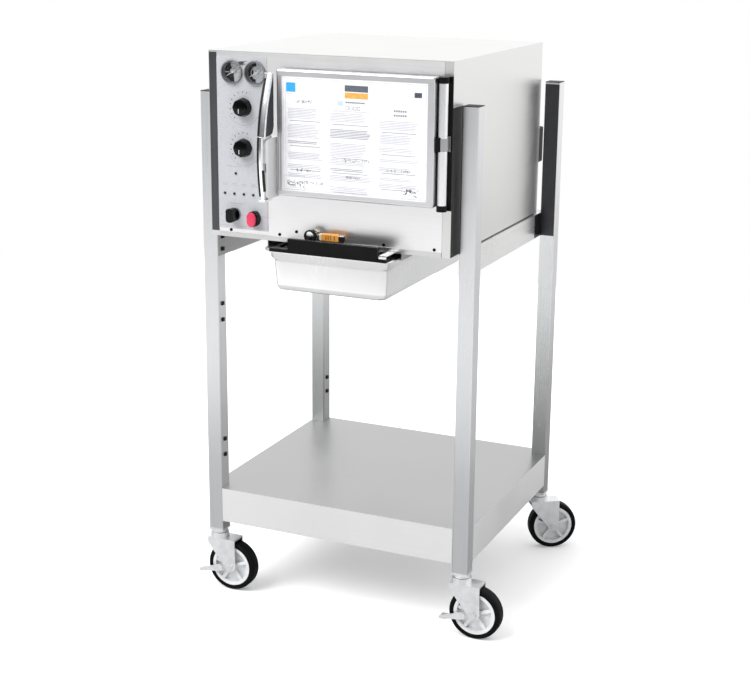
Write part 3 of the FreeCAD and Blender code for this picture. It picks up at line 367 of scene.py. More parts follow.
# Painted shade: upward faces, shaded by the cabinet above, are dimmed to half the tone of the aprons.
scuffed = add(tree, "MapRange", {"Value": lift.outputs["Z"], "From Min": 0.4, "From Max": 0.9,
                                 "To Min": 1.0, "To Max": shelf_top_share})
dim(tree, tree.nodes["Principled BSDF"], scuffed.outputs[0])
finish_nodes(["lower_shelf"], shelf_steel, 0.0016)

# ---- casters -------------------------------------------------------------------------------------
# Swivel casters: pressed steel forks, stems and brake pedals, bright zinc plated. Plating is smooth,
# with faint clouds about 20 mm across.
zinc_cloud_mm = 20.0


def clouded_metal(name, dark, light, grain_mm, smooth, rough, spread=0.18, detail=3.0, relief=0.0,
                  metallic=1.0):
    """Plated or cast metal: one pattern drifts its tone, its roughness and, in a casting, its height."""
    made, tree, shader = material(name, Metallic=metallic)
    place = add(tree, "TexCoord")
    cloud = add(tree, "TexNoise", {"Vector": place.outputs["Object"], "Scale": 1000 / grain_mm,
                                   "Detail": detail})
    tones(tree, shader, cloud.outputs["Fac"], dark, light, spread)
    gloss = add(tree, "MapRange", {"Value": cloud.outputs["Fac"], "To Min": smooth, "To Max": rough})
    tree.links.new(gloss.outputs[0], shader.inputs["Roughness"])
    if relief:
        bump = add(tree, "Bump", {"Height": cloud.outputs["Fac"], "Strength": relief, "Distance": 0.0004})
        tree.links.new(bump.outputs[0], shader.inputs["Normal"])
    return made


zinc = clouded_metal("bright_zinc_plated_steel", "#DCDEE0", "#EDEEEF", zinc_cloud_mm, 0.26, 0.40,
                     metallic=0.85)
corners = ["front_left", "front_right", "rear_left", "rear_right"]
finish_nodes(["caster_stems"] + ["fork_" + corner for corner in corners], zinc, 0.0007)
finish_nodes(["brake_pedal_front_left", "brake_pedal_front_right"], zinc, 0.0009)

# ---- wheels --------------------------------------------------------------------------------------
# Hubs moulded in pale grey polypropylene with five spokes, and black rubber tyres bonded round them.
# The tyre is turned to a crowned tread, with a moulded ring on each wall and rounded shoulders.
hub_plastic = moulded("moulded_grey_polypropylene", "#C9CACC", "#D6D7D8", 0.42)
finish_nodes(["hub_" + corner for corner in corners], hub_plastic, 0.0008)
rubber = moulded("moulded_black_rubber", "#070708", "#0E0E0F", 0.55, 2.5, 0.2, Specular_IOR_Level=0.10)
tyre_steps = 72
tyre_half = [(51.0, 15.0), (53.0, 15.8), (55.2, 16.0), (55.6, 15.3), (56.6, 15.3), (57.0, 16.0),
             (59.5, 15.8), (61.6, 14.6), (62.8, 12.4), (63.3, 8.0), (63.5, 2.5)]
tyre_profile = tyre_half + [(radius, -along) for radius, along in reversed(tyre_half)]
web_profile = [(9.0, -6.5), (20.0, -6.0), (40.0, -4.0), (48.0, -7.0), (48.0, 7.0), (40.0, 4.0), (20.0, 6.0),
               (9.0, 6.5)]


def skin(rings, loop=False):
    """Points and faces over rings of points, with capped ends, or joined end to end."""
    count = len(rings[0])
    points = [point for ring in rings for point in ring]
    faces = []
    for number in range(len(rings) if loop else len(rings) - 1):
        this = number * count
        following = (number + 1) % len(rings) * count
        for step in range(count):
            beside = (step + 1) % count
            faces.append((this + step, this + beside, following + beside, following + step))
    if not loop:
        faces.append(tuple(reversed(range(count))))
        faces.append(tuple(range(len(points) - count, len(points))))
    return points, faces


def turned(profile, centre, axis, steps=48, loop=False):
    """A turned solid: the profile is (radius, distance along the axis) in millimetres."""
    axis = Vector(axis).normalized()
    first = axis.orthogonal().normalized()
    second = axis.cross(first)
    rings = []
    for radius, along in profile:
        middle = Vector(centre) + axis * along / 1000
        rings.append([middle + (first * math.cos(math.tau * step / steps)
                                + second * math.sin(math.tau * step / steps)) * radius / 1000
                      for step in range(steps)])
    return skin(rings, loop)


joints = {joint["name"]: joint for joint in frame["joints"]}
for corner in corners:
    low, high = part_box("tyre_" + corner)
    axle = joints["wheel_" + corner + "_spin"]["axis"]
    ring = turned(tyre_profile, (low + high) / 2, axle, tyre_steps, True)
    tyre = piece("rubber_tyre_" + corner, [ring], [rubber], "wheel_" + corner, smooth=50.0)
    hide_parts("tyre_" + corner)
    web = turned(web_profile, (low + high) / 2, axle, tyre_steps, True)
    piece("hub_web_" + corner, [web], [hub_plastic], "wheel_" + corner, smooth=40.0)

# ---- cabinet shell -------------------------------------------------------------------------------
# The wrapper, base and back are folded from 1.5 mm stainless sheet, satin polished from front to
# back, with the small radius of a press brake at every fold.
wrap_steel = satin_steel("satin_stainless_wrapper", "Y", "#DCDCDB", "#E4E4E3", 0.33, 0.35)
base_steel = satin_steel("satin_stainless_base", "X", "#CFCFCF", "#DADADA")
finish_nodes(["cabinet_wrap"], wrap_steel, 0.0014)
finish_nodes(["cabinet_base", "cabinet_back"], base_steel, 0.0008)

# ---- painted shade strips ------------------------------------------------------------------------
# Dark satin stainless strips, painted shade where shade and dark reflections fall: one down the front's
# left edge, and one down each side between the front and the leg. Thin dark lines run on along the
# sides' foot for the shade between cabinet and rail, and a patch paints the shade on the right rail's rear
# end.
edging_thick = 0.0005
edging_inset = 0.0008
front_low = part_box("front_frame")[0]
wrap_low, wrap_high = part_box("cabinet_wrap")
panel_low, panel_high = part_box("control_panel")
# Both dark steels are painted shade, on the left return and on the sides ahead of the legs.
edge_oxide = satin_steel("painted_shade_edge_strip", "Z", "#555659", "#646568", 0.34)
side_oxide = satin_steel("painted_shade_side_strip", "Z", "#2C2C2E", "#38383A", 0.36)
side_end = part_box("front_legs")[0].y + 0.022
left_strip = slab(wrap_low.x + edging_inset, panel_low.x - 0.0006, front_low.y - edging_thick, front_low.y,
                  front_low.z + 0.010, wrap_high.z - 0.004)
piece("left_edge_painted_shade", [left_strip], [edge_oxide], "stand")
seam_end = leg_low.y - 0.0360
seam_low = wrap_low.z + 0.0002
seam_high = wrap_low.z + 0.0026
patch_front = leg_low.y - 0.0430
side_strips = []
seams = []
for left in (wrap_high.x, wrap_low.x - edging_thick):
    side_strips.append(slab(left, left + edging_thick, wrap_low.y + edging_inset, side_end,
                            wrap_low.z + 0.001, leg_high.z))
    seams.append(slab(left, left + edging_thick, side_end, seam_end, seam_low, seam_high))
seams.append(slab(rail_high.x, rail_high.x + edging_thick, patch_front, leg_low.y - 0.0004,
                  rail_low.z + 0.001, rail_high.z - 0.001))
piece("side_painted_shade", side_strips, [side_oxide], "stand")
piece("foot_painted_shade", seams, [side_oxide], "stand")

# ---- inside the cabinet --------------------------------------------------------------------------
# The chamber and racks are pickled stainless, greyer and duller than the polished sheet. Round them
# are a glass wool jacket, a cast heater plate and a small vacuum pump, and on the back a nylon inlet.
pickled_steel = satin_steel("pickled_stainless", "Y", "#A8A9AB", "#C0C1C3", 0.46, 0.3)
finish_nodes(["steam_chamber", "pan_racks", "pan_runners"], pickled_steel, 0.0005)
wool_clump_mm = 9.0
wool, tree, shader = material("glass_wool_felt", Roughness=0.95)
place = add(tree, "TexCoord")
clump = add(tree, "TexNoise", {"Vector": place.outputs["Object"], "Scale": 1000 / wool_clump_mm,
                               "Detail": 6.0})
tones(tree, shader, clump.outputs["Fac"], "#CDBF86", "#E6DBAA")
bump = add(tree, "Bump", {"Height": clump.outputs["Fac"], "Strength": 0.6, "Distance": 0.002})
tree.links.new(bump.outputs[0], shader.inputs["Normal"])
finish_nodes(["insulation_jacket"], wool)
cast_grain_mm = 2.0
cast = clouded_metal("sand_cast_aluminium", "#A6A7A9", "#BDBEC0", cast_grain_mm, 0.42, 0.58, relief=0.35)
finish_nodes(["heater_plate", "vacuum_pump"], cast, 0.0008)
finish_nodes(["power_inlet"], black_nylon, 0.0012)

# ---- cabinet front -------------------------------------------------------------------------------
# A flat stainless front, polished from side to side and held along its foot by black screws. The
# keeper for the latch's hook is pickled stainless.
front_steel = satin_steel("satin_stainless_front", "X", "#F1F1F2", "#F8F8F9", 0.34, 0.35)
finish_nodes(["front_frame"], front_steel, 0.0005)
finish_nodes(["front_screws"], black_coat, 0.0004)
finish_nodes(["latch_strike"], pickled_steel, 0.0006)

# ---- control panel -------------------------------------------------------------------------------
# A polyester overlay, printed in grey and stuck to the front. The print is a field of small dashes, rings
# of ticks round the knobs, rows over the lamps and a thin red keyline. It carries plain marks only.
film_grain_mm = 1.8
ink_depth_mm = 4.0
ink_lift = 0.00012
overlay, tree, shader = material("printed_polyester_overlay", Roughness=0.42)
place = add(tree, "TexCoord")
fleck = add(tree, "TexNoise", {"Vector": place.outputs["Object"], "Scale": 1000 / film_grain_mm,
                               "Detail": 2.0})
tones(tree, shader, fleck.outputs["Fac"], "#B2B3B8", "#C4C5CA", 0.12)
bump = add(tree, "Bump", {"Height": fleck.outputs["Fac"], "Strength": 0.05, "Distance": 0.0001})
tree.links.new(bump.outputs[0], shader.inputs["Normal"])
finish_nodes(["control_panel"], overlay)


def ink(name, dark, light):
    """Screen ink on film: flat, matt, and slightly uneven in depth every few millimetres."""
    made, tree, shader = material(name, Roughness=0.6)
    place = add(tree, "TexCoord")
    depth = add(tree, "TexNoise", {"Vector": place.outputs["Object"], "Scale": 1000 / ink_depth_mm,
                                   "Detail": 2.0})
    tones(tree, shader, depth.outputs["Fac"], dark, light)
    return made


def tilted_bar(x, z, length, width, turn, y):
    """A thin printed bar whose middle is at x, z, turned by an angle in the plane of the front."""
    ux = math.cos(turn) * length / 2
    uz = math.sin(turn) * length / 2
    vx = -math.sin(turn) * width / 2
    vz = math.cos(turn) * width / 2
    corner = [(x - ux - vx, z - uz - vz), (x + ux - vx, z + uz - vz), (x + ux + vx, z + uz + vz),
              (x - ux + vx, z - uz + vz)]
    return ([(cx, y - ink_lift, cz) for cx, cz in corner] + [(cx, y, cz) for cx, cz in corner],
            [(0, 1, 2, 3), (7, 6, 5, 4), (0, 4, 5, 1), (1, 5, 6, 2), (2, 6, 7, 3), (3, 7, 4, 0)])


grey_ink = ink("grey_screen_ink", "#8C8D94", "#A2A3A9")
dark_ink = ink("charcoal_screen_ink", "#303136", "#46474D")
brown_ink = ink("brown_screen_ink", "#5A4A36", "#7A6A52")
red_ink = ink("dull_red_screen_ink", "#B98F93", "#C9A5A8")
grey, charcoal, brown, red = range(4)
panel_face = panel_low.y
dash_count = 620
button_room_x = 0.014
button_room_z = 0.020
tick_radius = 0.034
minute_radius = 0.041
lamp_pitch = 0.0245
knobs = {}
for name in ("timer_knob", "thermostat_knob", "selector_knob", "power_button"):
    low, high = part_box(name)
    knobs[name] = (low + high) / 2
lamp_low, lamp_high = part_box("indicator_lamps")
dashes = random.Random(41)
marks = []
tints = []


def mark(x, z, length, width, turn, tint):
    """Print one small bar on the panel in one of its inks."""
    marks.append(tilted_bar(x, z, length, width, turn, panel_face))
    tints.append(tint)


for _ in range(dash_count):
    x = dashes.uniform(panel_low.x + 0.004, panel_high.x - 0.004)
    z = dashes.uniform(panel_low.z + 0.014, panel_high.z - 0.006)
    if abs(x - knobs["power_button"].x) < button_room_x and abs(z - knobs["power_button"].z) < button_room_z:
        continue
    mark(x, z, dashes.uniform(0.0008, 0.0034), dashes.uniform(0.0004, 0.0009),
         dashes.choice((0.0, 0.4, -0.5, 1.2, 0.0)), grey)
for name in ("timer_knob", "thermostat_knob"):
    middle = knobs[name]
    for number in range(9):
        turn = math.radians(75 + number * 19)
        x = middle.x + math.cos(turn) * tick_radius
        z = middle.z + math.sin(turn) * tick_radius
        mark(x, z, 0.0036, 0.0017, turn, charcoal)
        mark(x - 0.006, z + 0.003, 0.0034, 0.0008, 0.3, grey)
    for number in range(26):
        turn = math.radians(208 + number * 5)
        x = middle.x + math.cos(turn) * minute_radius
        z = middle.z + math.sin(turn) * minute_radius
        mark(x, z, 0.0034, 0.0008, turn + math.pi / 2, grey)
lamp_row = lamp_low.z + 0.0035
lamp_steps = [lamp_low.x + 0.0035 + number * lamp_pitch for number in range(4)]
for x in lamp_steps:
    for row in range(2):
        for number in range(3):
            mark(x - 0.004 + number * 0.0045, lamp_row + 0.019 + row * 0.0036, 0.0031, 0.0012, 0.0, grey)
for number in range(7):
    mark(panel_low.x + 0.022 + number * 0.0062, lamp_high.z + 0.013, 0.0045, 0.0014, 0.0, grey)
for number in range(12):
    mark(knobs["selector_knob"].x - 0.014 + number * 0.0035, knobs["selector_knob"].z + 0.026,
         0.0024, 0.0011, 0.0, grey)
smudge_x = panel_low.x + 0.064
for number in range(9):
    mark(smudge_x + dashes.uniform(-0.006, 0.006), panel_high.z - 0.0105 - number * 0.0009,
         dashes.uniform(0.007, 0.021), 0.0011, 0.0, brown if number > 4 else charcoal)
for number in range(26):
    mark(smudge_x + dashes.uniform(-0.030, 0.034), panel_high.z - dashes.uniform(0.009, 0.026),
         dashes.uniform(0.0012, 0.004), 0.0009, dashes.uniform(-0.4, 0.4), brown)
keyline_wide = 0.0009
keyline = ((panel_low.x + 0.06, panel_low.z + 0.006, 0.118, 0.0),
           (panel_high.x - 0.0025, panel_low.z + 0.088, 0.164, math.pi / 2),
           (panel_high.x - 0.014, panel_low.z + 0.033, 0.023, 0.0))
for x, z, length, turn in keyline:
    mark(x, z, length, keyline_wide, turn, red)
piece("panel_print", marks, [grey_ink, dark_ink, brown_ink, red_ink], "stand", tints=tints)

# ---- gauges --------------------------------------------------------------------------------------
# Two vacuum and temperature gauges: a grey painted case, a flat glass, a printed tin dial with plain
# graduations, and a pale pointer. Dark sectors on the dials are painted reflection, for the glass's dark
# reflection on its left.
smear_mm = 22.22
dial_radius = 0.0222
dial_recess = 0.0118
gauge_low, gauge_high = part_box("gauge_bodies")
case_paint = moulded("grey_gauge_case", "#77787C", "#8C8D91", 0.35)
finish_nodes(["gauge_bodies"], case_paint, 0.0006)
glass, tree, shader = material("flat_gauge_glass", Base_Color=linear("#2A2C2E"), IOR=1.5, Alpha=0.10)
place = add(tree, "TexCoord")
smear = add(tree, "TexNoise", {"Vector": place.outputs["Object"], "Scale": 1000 / smear_mm, "Detail": 3.0})
gloss = add(tree, "MapRange", {"Value": smear.outputs["Fac"], "To Min": 0.04, "To Max": 0.16})
tree.links.new(gloss.outputs[0], shader.inputs["Roughness"])
finish_nodes(["gauge_lenses"], glass)
dial_white = ink("dial_off_white_enamel", "#C6C7CB", "#DCDDE0")
dial_dark = ink("dial_painted_dark_reflection", "#08080A", "#101013")
pointer_paint = moulded("pale_pointer_enamel", "#D4D5D8", "#E6E7E9", 0.4)
finish_nodes(["left_needle", "right_needle"], pointer_paint)
dial_y = gauge_low.y + dial_recess
enamel, black, print_ink = range(3)


def sector(x, z, inner, outer, start, end, y, steps=28):
    """A flat printed sector between two radii and two angles, counted from the right."""
    rings = []
    for number in range(steps + 1):
        turn = math.radians(start + (end - start) * number / steps)
        near = (x + math.cos(turn) * inner, z + math.sin(turn) * inner)
        far = (x + math.cos(turn) * outer, z + math.sin(turn) * outer)
        rings.append([(near[0], y, near[1]), (far[0], y, far[1]), (far[0], y + ink_lift, far[1]),
                      (near[0], y + ink_lift, near[1])])
    return skin(rings)


# The dark sectors over the left of each dial are painted reflection, for the glass's dark reflection.
for name, x, spans in (("left", gauge_low.x + 0.0265, ((0.35, 1.0, 112, 178), (0.0, 1.0, 186, 276))),
                       ("right", gauge_high.x - 0.0265, ((0.60, 1.0, 92, 262), (0.3, 0.60, 150, 215)))):
    z = (gauge_low.z + gauge_high.z) / 2
    parts = [turned([(dial_radius * 1000, 0.0), (dial_radius * 1000, 0.3)], (x, dial_y, z), (0, 1, 0))]
    tints = [enamel]
    for inner, outer, start, end in spans:
        parts.append(sector(x, z, 0.0012 + inner * dial_radius, outer * (dial_radius - 0.0004), start, end,
                            dial_y - ink_lift))
        tints.append(black)
    for number in range(41):
        turn = math.radians(-130 + number * 6.5)
        long_mark = number % 5 == 0
        reach = 0.0175 if long_mark else 0.0186
        parts.append(tilted_bar(x + math.sin(turn) * reach, z + math.cos(turn) * reach,
                                0.0036 if long_mark else 0.0018, 0.0006, math.pi / 2 - turn, dial_y))
        tints.append(print_ink)
    for number in range(60):
        turn = dashes.uniform(-2.0, 1.9)
        reach = dashes.uniform(0.003, 0.014)
        parts.append(tilted_bar(x + math.sin(turn) * reach, z + math.cos(turn) * reach,
                                dashes.uniform(0.001, 0.003), 0.0005, dashes.uniform(-0.3, 0.3), dial_y))
        tints.append(print_ink)
    piece("dial_" + name, parts, [dial_white, dial_dark, dark_ink], "stand", tints=tints)

# ---- knobs ---------------------------------------------------------------------------------------
# Phenolic knobs for the timer and the thermostat: eight moulded flats that draw in towards a domed
# face, polished to a high gloss. A pale line low on each face is a painted highlight for the knob's glint.
phenolic = moulded("polished_black_phenolic", "#020203", "#060607", 0.12, 3.0, 0.02,
                   Specular_IOR_Level=0.2)
knob_flats = 8
knob_profile = [(1.0, 0.0), (1.0, 0.10), (0.955, 0.14), (0.93, 0.60), (0.88, 0.86), (0.80, 0.955),
                (0.62, 1.0)]


def flatted(middle_x, middle_z, back, front, radius, flats, soften=0.35, steps=6):
    """Rings of a many-sided knob with rounded corners, from the panel to its face."""
    rings = []
    for scale, along in knob_profile:
        ring = []
        for number in range(flats * steps):
            turn = math.tau * (number / (flats * steps)) + math.pi / flats * 0.6
            local = (turn % (math.tau / flats)) - math.pi / flats
            reach = math.cos(math.pi / flats) / math.cos(local)
            reach = reach * (1 - soften) + (0.5 + 0.5 * math.cos(math.pi / flats)) * soften
            ring.append((middle_x + math.cos(turn) * radius * scale * reach, back + (front - back) * along,
                         middle_z + math.sin(turn) * radius * scale * reach))
        rings.append(ring)
    return rings


for name, body in (("timer_knob", "timer"), ("thermostat_knob", "thermostat")):
    low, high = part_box(name)
    middle = knobs[name]
    radius = (high.z - low.z) / 2
    parts = [skin(flatted(middle.x, middle.z, panel_face - 0.0004, low.y + 0.0006, radius, knob_flats))]
    knob = piece(name.replace("_knob", "_faceted_knob"), parts, [phenolic], body,
                 0.0005, 28.0)
    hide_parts(name)
    # A pale slab low on the knob's face: painted highlight for the knob's glint.
    line = slab(middle.x - 0.0030, middle.x - 0.0012, low.y + 0.0001, low.y + 0.002,
                middle.z - radius * 0.56, middle.z - radius * 0.12)
    piece(name.replace("_knob", "_painted_glint"), [line], [pointer_paint], body, 0.0004)

# ---- selector ------------------------------------------------------------------------------------
# A black bar knob on a plain ring of brushed and anodised aluminium, for the operating mode. The
# black bodies of the switches are behind the panel.
ring_grain_mm = 1.5
anodised = clouded_metal("brushed_anodised_aluminium", "#A5A6AA", "#C6C7CA", ring_grain_mm, 0.3, 0.5, 0.12)
middle = knobs["selector_knob"]
escutcheon = turned([(14.7, -0.2), (17.4, -0.2), (17.4, -0.7), (16.8, -1.0), (15.2, -1.0), (14.7, -0.7)],
                    (middle.x + 0.001, panel_face, middle.z), (0, 1, 0), loop=True)
piece("selector_escutcheon", [escutcheon], [anodised], "stand")
finish_nodes(["selector_knob"], phenolic, 0.0009)
finish_nodes(["control_switches"], black_nylon, 0.0009)

# ---- power button --------------------------------------------------------------------------------
# An oblong push button moulded in red acrylic with a shallow domed face, on a round stem in a black
# collar.
red_acrylic = moulded("moulded_red_acrylic", "#CE2F50", "#DC4262", 0.28, 2.5, 0.03)
low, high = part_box("power_button")
middle = knobs["power_button"]
cap_half = Vector(((high.x - low.x) / 2, 0.0, (high.z - low.z) / 2))
cap_back = low.y + 0.005
cap_profile = ((0.93, 1.0), (1.0, 0.9), (1.0, 0.45), (0.965, 0.24), (0.87, 0.1), (0.62, 0.02), (0.3, 0.0))
cap_steps = 48
straight = cap_half.z - cap_half.x
button_rings = []
for scale, along in cap_profile:
    ring = []
    for number in range(cap_steps):
        turn = math.tau * number / cap_steps
        rise = math.sin(turn) * cap_half.x + math.copysign(straight, math.sin(turn))
        ring.append((middle.x + math.cos(turn) * cap_half.x * scale, low.y + (cap_back - low.y) * along,
                     middle.z + rise * scale))
    button_rings.append(ring)
stem = turned([(10.1, 0.0), (10.1, 16.0)], (middle.x, cap_back, middle.z), (0, 1, 0))
button = piece("red_push_button", [skin(button_rings), stem], [red_acrylic], "button")
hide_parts("power_button")

# ---- indicator lamps -----------------------------------------------------------------------------
# Small moulded lenses of dark blue polycarbonate, pressed in from behind. Their domes stand proud of
# the film.
lens_blue = moulded("dark_blue_polycarbonate", "#14182C", "#20264A", 0.15, 2.0, 0.02)
finish_nodes(["indicator_lamps"], lens_blue)

# ---- door ----------------------------------------------------------------------------------------
# A shallow pressed stainless door with soft front edges and two rolled ribs down its left margin. A
# flat liner and an extruded silicone gasket close its back.
door_steel = satin_steel("satin_stainless_door", "X", "#D6D6D8", "#DFDFE1", 0.33, 0.35)
finish_nodes(["door_skin"], door_steel, 0.0004)
finish_nodes(["door_liner"], pickled_steel, 0.0004)
finish_nodes(["door_gasket"], moulded("extruded_black_silicone", "#131314", "#1E1E20", 0.6), 0.001)
rib_steel = satin_steel("rolled_stainless_rib", "Z", "#9B9BA0", "#ACACB0")
rib_section = [(0.9, -0.02), (0.65, -0.45), (0.0, -0.62), (-0.65, -0.45), (-0.9, -0.02)]
rib_end = 0.012
door_low, door_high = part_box("door_skin")
ribs = []
for x in (0.0048, 0.0102):
    rings = [[(door_low.x + x + along / 1000, door_low.y + out / 1000, z) for along, out in rib_section]
             for z in (door_low.z + rib_end, door_high.z - rib_end)]
    ribs.append(skin(rings))
piece("door_margin_ribs", ribs, [rib_steel], "door")

# ---- door placard --------------------------------------------------------------------------------
# A laminated paper sheet on the door: grey lines in three columns, a slate bar and an amber bar for a
# heading, pale blocks and boxes. All of it is plain bars and strokes, with no lettering.
fibre_mm = 16.67
film, tree, shader = material("laminated_paper", Roughness=0.38)
place = add(tree, "TexCoord")
fibre = add(tree, "TexNoise", {"Vector": place.outputs["Object"], "Scale": 1000 / fibre_mm, "Detail": 4.0})
tones(tree, shader, fibre.outputs["Fac"], "#E6E6EB", "#F0F0F3")
finish_nodes(["door_placard"], film)
text_ink = ink("grey_print", "#7E7E87", "#96969D")
pale_ink = ink("pale_grey_print", "#B4B4BA", "#C2C2C8")
slate_ink = ink("slate_print", "#4E5560", "#626974")
amber_ink = ink("amber_print", "#E09A3C", "#EDB25C")
blue_ink = ink("bright_blue_print", "#1E9BEF", "#36AEF6")
mist_ink = ink("pale_blue_print", "#B7CBE2", "#C8D8EA")
text, pale, slate, amber, blue, mist = range(6)
sheet_low, sheet_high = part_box("door_placard")
sheet_y = sheet_low.y
wide = sheet_high.x - sheet_low.x
tall = sheet_high.z - sheet_low.z
script = random.Random(7)
prints = []
tints = []


def block_print(u0, u1, v0, v1, tint):
    """A printed block. u runs right and v runs down over the sheet, both from 0 to 1."""
    x0 = sheet_low.x + u0 * wide
    x1 = sheet_low.x + u1 * wide
    z1 = sheet_high.z - v0 * tall
    z0 = sheet_high.z - v1 * tall
    prints.append(slab(x0, x1, sheet_y - ink_lift, sheet_y, z0, z1))
    tints.append(tint)


def outline_print(u0, u1, v0, v1, tint, width=0.0007):
    """A printed rectangle drawn with four thin lines."""
    du = width / wide
    dv = width / tall
    block_print(u0, u1, v0, v0 + dv, tint)
    block_print(u0, u1, v1 - dv, v1, tint)
    block_print(u0, u0 + du, v0, v1, tint)
    block_print(u1 - du, u1, v0, v1, tint)


def scribble(u0, u1, v0, v1, count, tint, width=0.0010):
    """A band of short meaningless strokes."""
    for _ in range(count):
        x = sheet_low.x + script.uniform(u0, u1) * wide
        z = sheet_high.z - script.uniform(v0, v1) * tall
        prints.append(tilted_bar(x, z, script.uniform(0.002, 0.007), width,
                                 script.choice((0.0, 1.57, 0.2, 1.3, -0.6)), sheet_y))
        tints.append(tint)


outline_print(0.008, 0.992, 0.012, 0.988, pale)
outline_print(0.024, 0.976, 0.030, 0.970, pale, 0.0005)
columns = ((0.035, 0.31), (0.335, 0.64), (0.675, 0.965))
line_step = 0.0135
line_share = 0.42
paragraphs = (((0.27, 0.36), (0.41, 0.53), (0.555, 0.58), (0.655, 0.71), (0.76, 0.79), (0.84, 0.87)),
              ((0.29, 0.37), (0.43, 0.51), (0.55, 0.66), (0.69, 0.74), (0.77, 0.79), (0.83, 0.875),
               (0.93, 0.96)),
              ((0.33, 0.41), (0.45, 0.52), (0.56, 0.60), (0.66, 0.68), (0.73, 0.76), (0.82, 0.84),
               (0.87, 0.90)))
for (u0, u1), spans in zip(columns, paragraphs):
    for number, (v0, v1) in enumerate(spans):
        shade = script.choice((text, pale, pale))
        reach = u1 - script.uniform(0.0, 0.07)
        v = v0
        while v < v1:
            start = u0 + script.uniform(0.0, 0.012)
            block_print(start, reach - script.uniform(0.0, 0.035), v, v + line_step * line_share, shade)
            v += line_step
        if number % 2 == 0:
            block_print(u0 + 0.02, u1 - 0.04, v1 + 0.016, v1 + 0.021, text)
for u, v, length in ((0.10, 0.20, 0.11), (0.42, 0.685, 0.19), (0.10, 0.80, 0.12), (0.45, 0.83, 0.10),
                     (0.72, 0.745, 0.17), (0.14, 0.905, 0.15)):
    scribble(u, u + length, v, v + 0.018, 22, slate, 0.0007)

# The heading: plain blocks at both sides, and two plain bars in the middle with small boxes below.
block_print(0.030, 0.096, 0.050, 0.130, blue)
block_print(0.033, 0.085, 0.146, 0.150, mist)
block_print(0.440, 0.600, 0.048, 0.102, slate)
block_print(0.440, 0.600, 0.110, 0.160, amber)
block_print(0.392, 0.428, 0.182, 0.225, mist)
for step in range(10):
    block_print(0.446 + step * 0.0135, 0.456 + step * 0.0135, 0.188, 0.200, slate)
for step in range(4):
    outline_print(0.448 + step * 0.026, 0.468 + step * 0.026, 0.228, 0.258, slate)
outline_print(0.36, 0.62, 0.268, 0.276, pale)
block_print(0.912, 0.962, 0.078, 0.122, slate)
for step in range(3):
    block_print(0.916, 0.958, 0.088 + step * 0.011, 0.092 + step * 0.011, pale)
for v in (0.235, 0.272):
    for step in range(6):
        block_print(0.775 + step * 0.015, 0.786 + step * 0.015, v, v + 0.016, text)

# The foot: two boxes, each filled with strokes.
outline_print(0.010, 0.160, 0.862, 0.986, pale)
outline_print(0.835, 0.962, 0.890, 0.985, pale)
scribble(0.035, 0.150, 0.905, 0.960, 30, slate, 0.0013)
scribble(0.850, 0.945, 0.905, 0.965, 26, slate, 0.0013)
piece("placard_print", prints, [text_ink, pale_ink, slate_ink, amber_ink, blue_ink, mist_ink], "door",
      tints=tints)

# ---- door hinge ----------------------------------------------------------------------------------
# A bright round bar turns between two black knuckles. A clamp round its middle is bolted to the
# door under a black cover.
bar_steel = satin_steel("centreless_ground_stainless_bar", "Z", "#EDEDEE", "#F6F6F7", 0.22, 0.6)
clamp_steel = satin_steel("tumbled_zinc_casting", "Z", "#9FA0A2", "#B4B5B7", 0.40, 0.2)
finish_nodes(["hinge_bar"], bar_steel, 0.0008)
finish_nodes(["hinge_arm"], clamp_steel, 0.0010)
# The bracket's black backplate fills the shadow gaps on both sides of the bar: painted shade. Its knuckles
# are black coated.
finish_nodes(["hinge_bracket"], black_coat, 0.0008)
arm_low, arm_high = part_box("hinge_arm")
cover = slab(arm_low.x + 0.0002, arm_low.x + 0.0118, arm_low.y - 0.0012, arm_high.y - 0.010,
             arm_low.z - 0.0016, arm_high.z + 0.0016)
piece("hinge_arm_cover", [cover], [black_coat], "door", 0.0012)

# ---- latch base ----------------------------------------------------------------------------------
# Zinc die casting screwed to the door's edge, tumbled and then lacquered, so it is paler and less
# metallic than bare steel. Its corners are rounded, and the hook comes out of a slot in its side.
die_cast = satin_steel("lacquered_zinc_casting", "Z", "#DDDDDE", "#E8E8E9", 0.42, 0.25)
die_cast.node_tree.nodes["Principled BSDF"].inputs["Metallic"].default_value = 0.3
finish_nodes(["latch_base"], die_cast, 0.0016)
finish_nodes(["latch_hook"], pickled_steel, 0.0008)

# ---- door handle ---------------------------------------------------------------------------------
# A bowed lever: a chromed spring-steel strip with a black nylon inlay along its left side, stiffened
# by a web behind its upper half. The web's dark colour is painted shade and reflection, for the dark flank
# and gap between the lever and the door. It turns on a steel pin through the latch base.
handle_low, handle_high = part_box("door_handle")
base_low, base_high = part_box("latch_base")
pin_x, pin_y, _ = joints["handle_turn"]["pos_m"]
strip_right = base_low.x + 0.0200
lower_right = base_low.x + 0.0170
strip_left = handle_low.x
strip_split = strip_left + 0.0056
lower_split = strip_left + 0.0076
strip_thick = 0.008
inlay_in = 0.0013
bow_front = handle_low.y
# Each point is a height and how far the strip's front lies behind its foremost point there.
bow = [(handle_low.z, 0.0110), (handle_low.z + 0.048, 0.0035), (handle_low.z + 0.0974, 0.0),
       (handle_low.z + 0.150, 0.0035), (handle_low.z + 0.2114, 0.0160), (handle_high.z, 0.0430)]


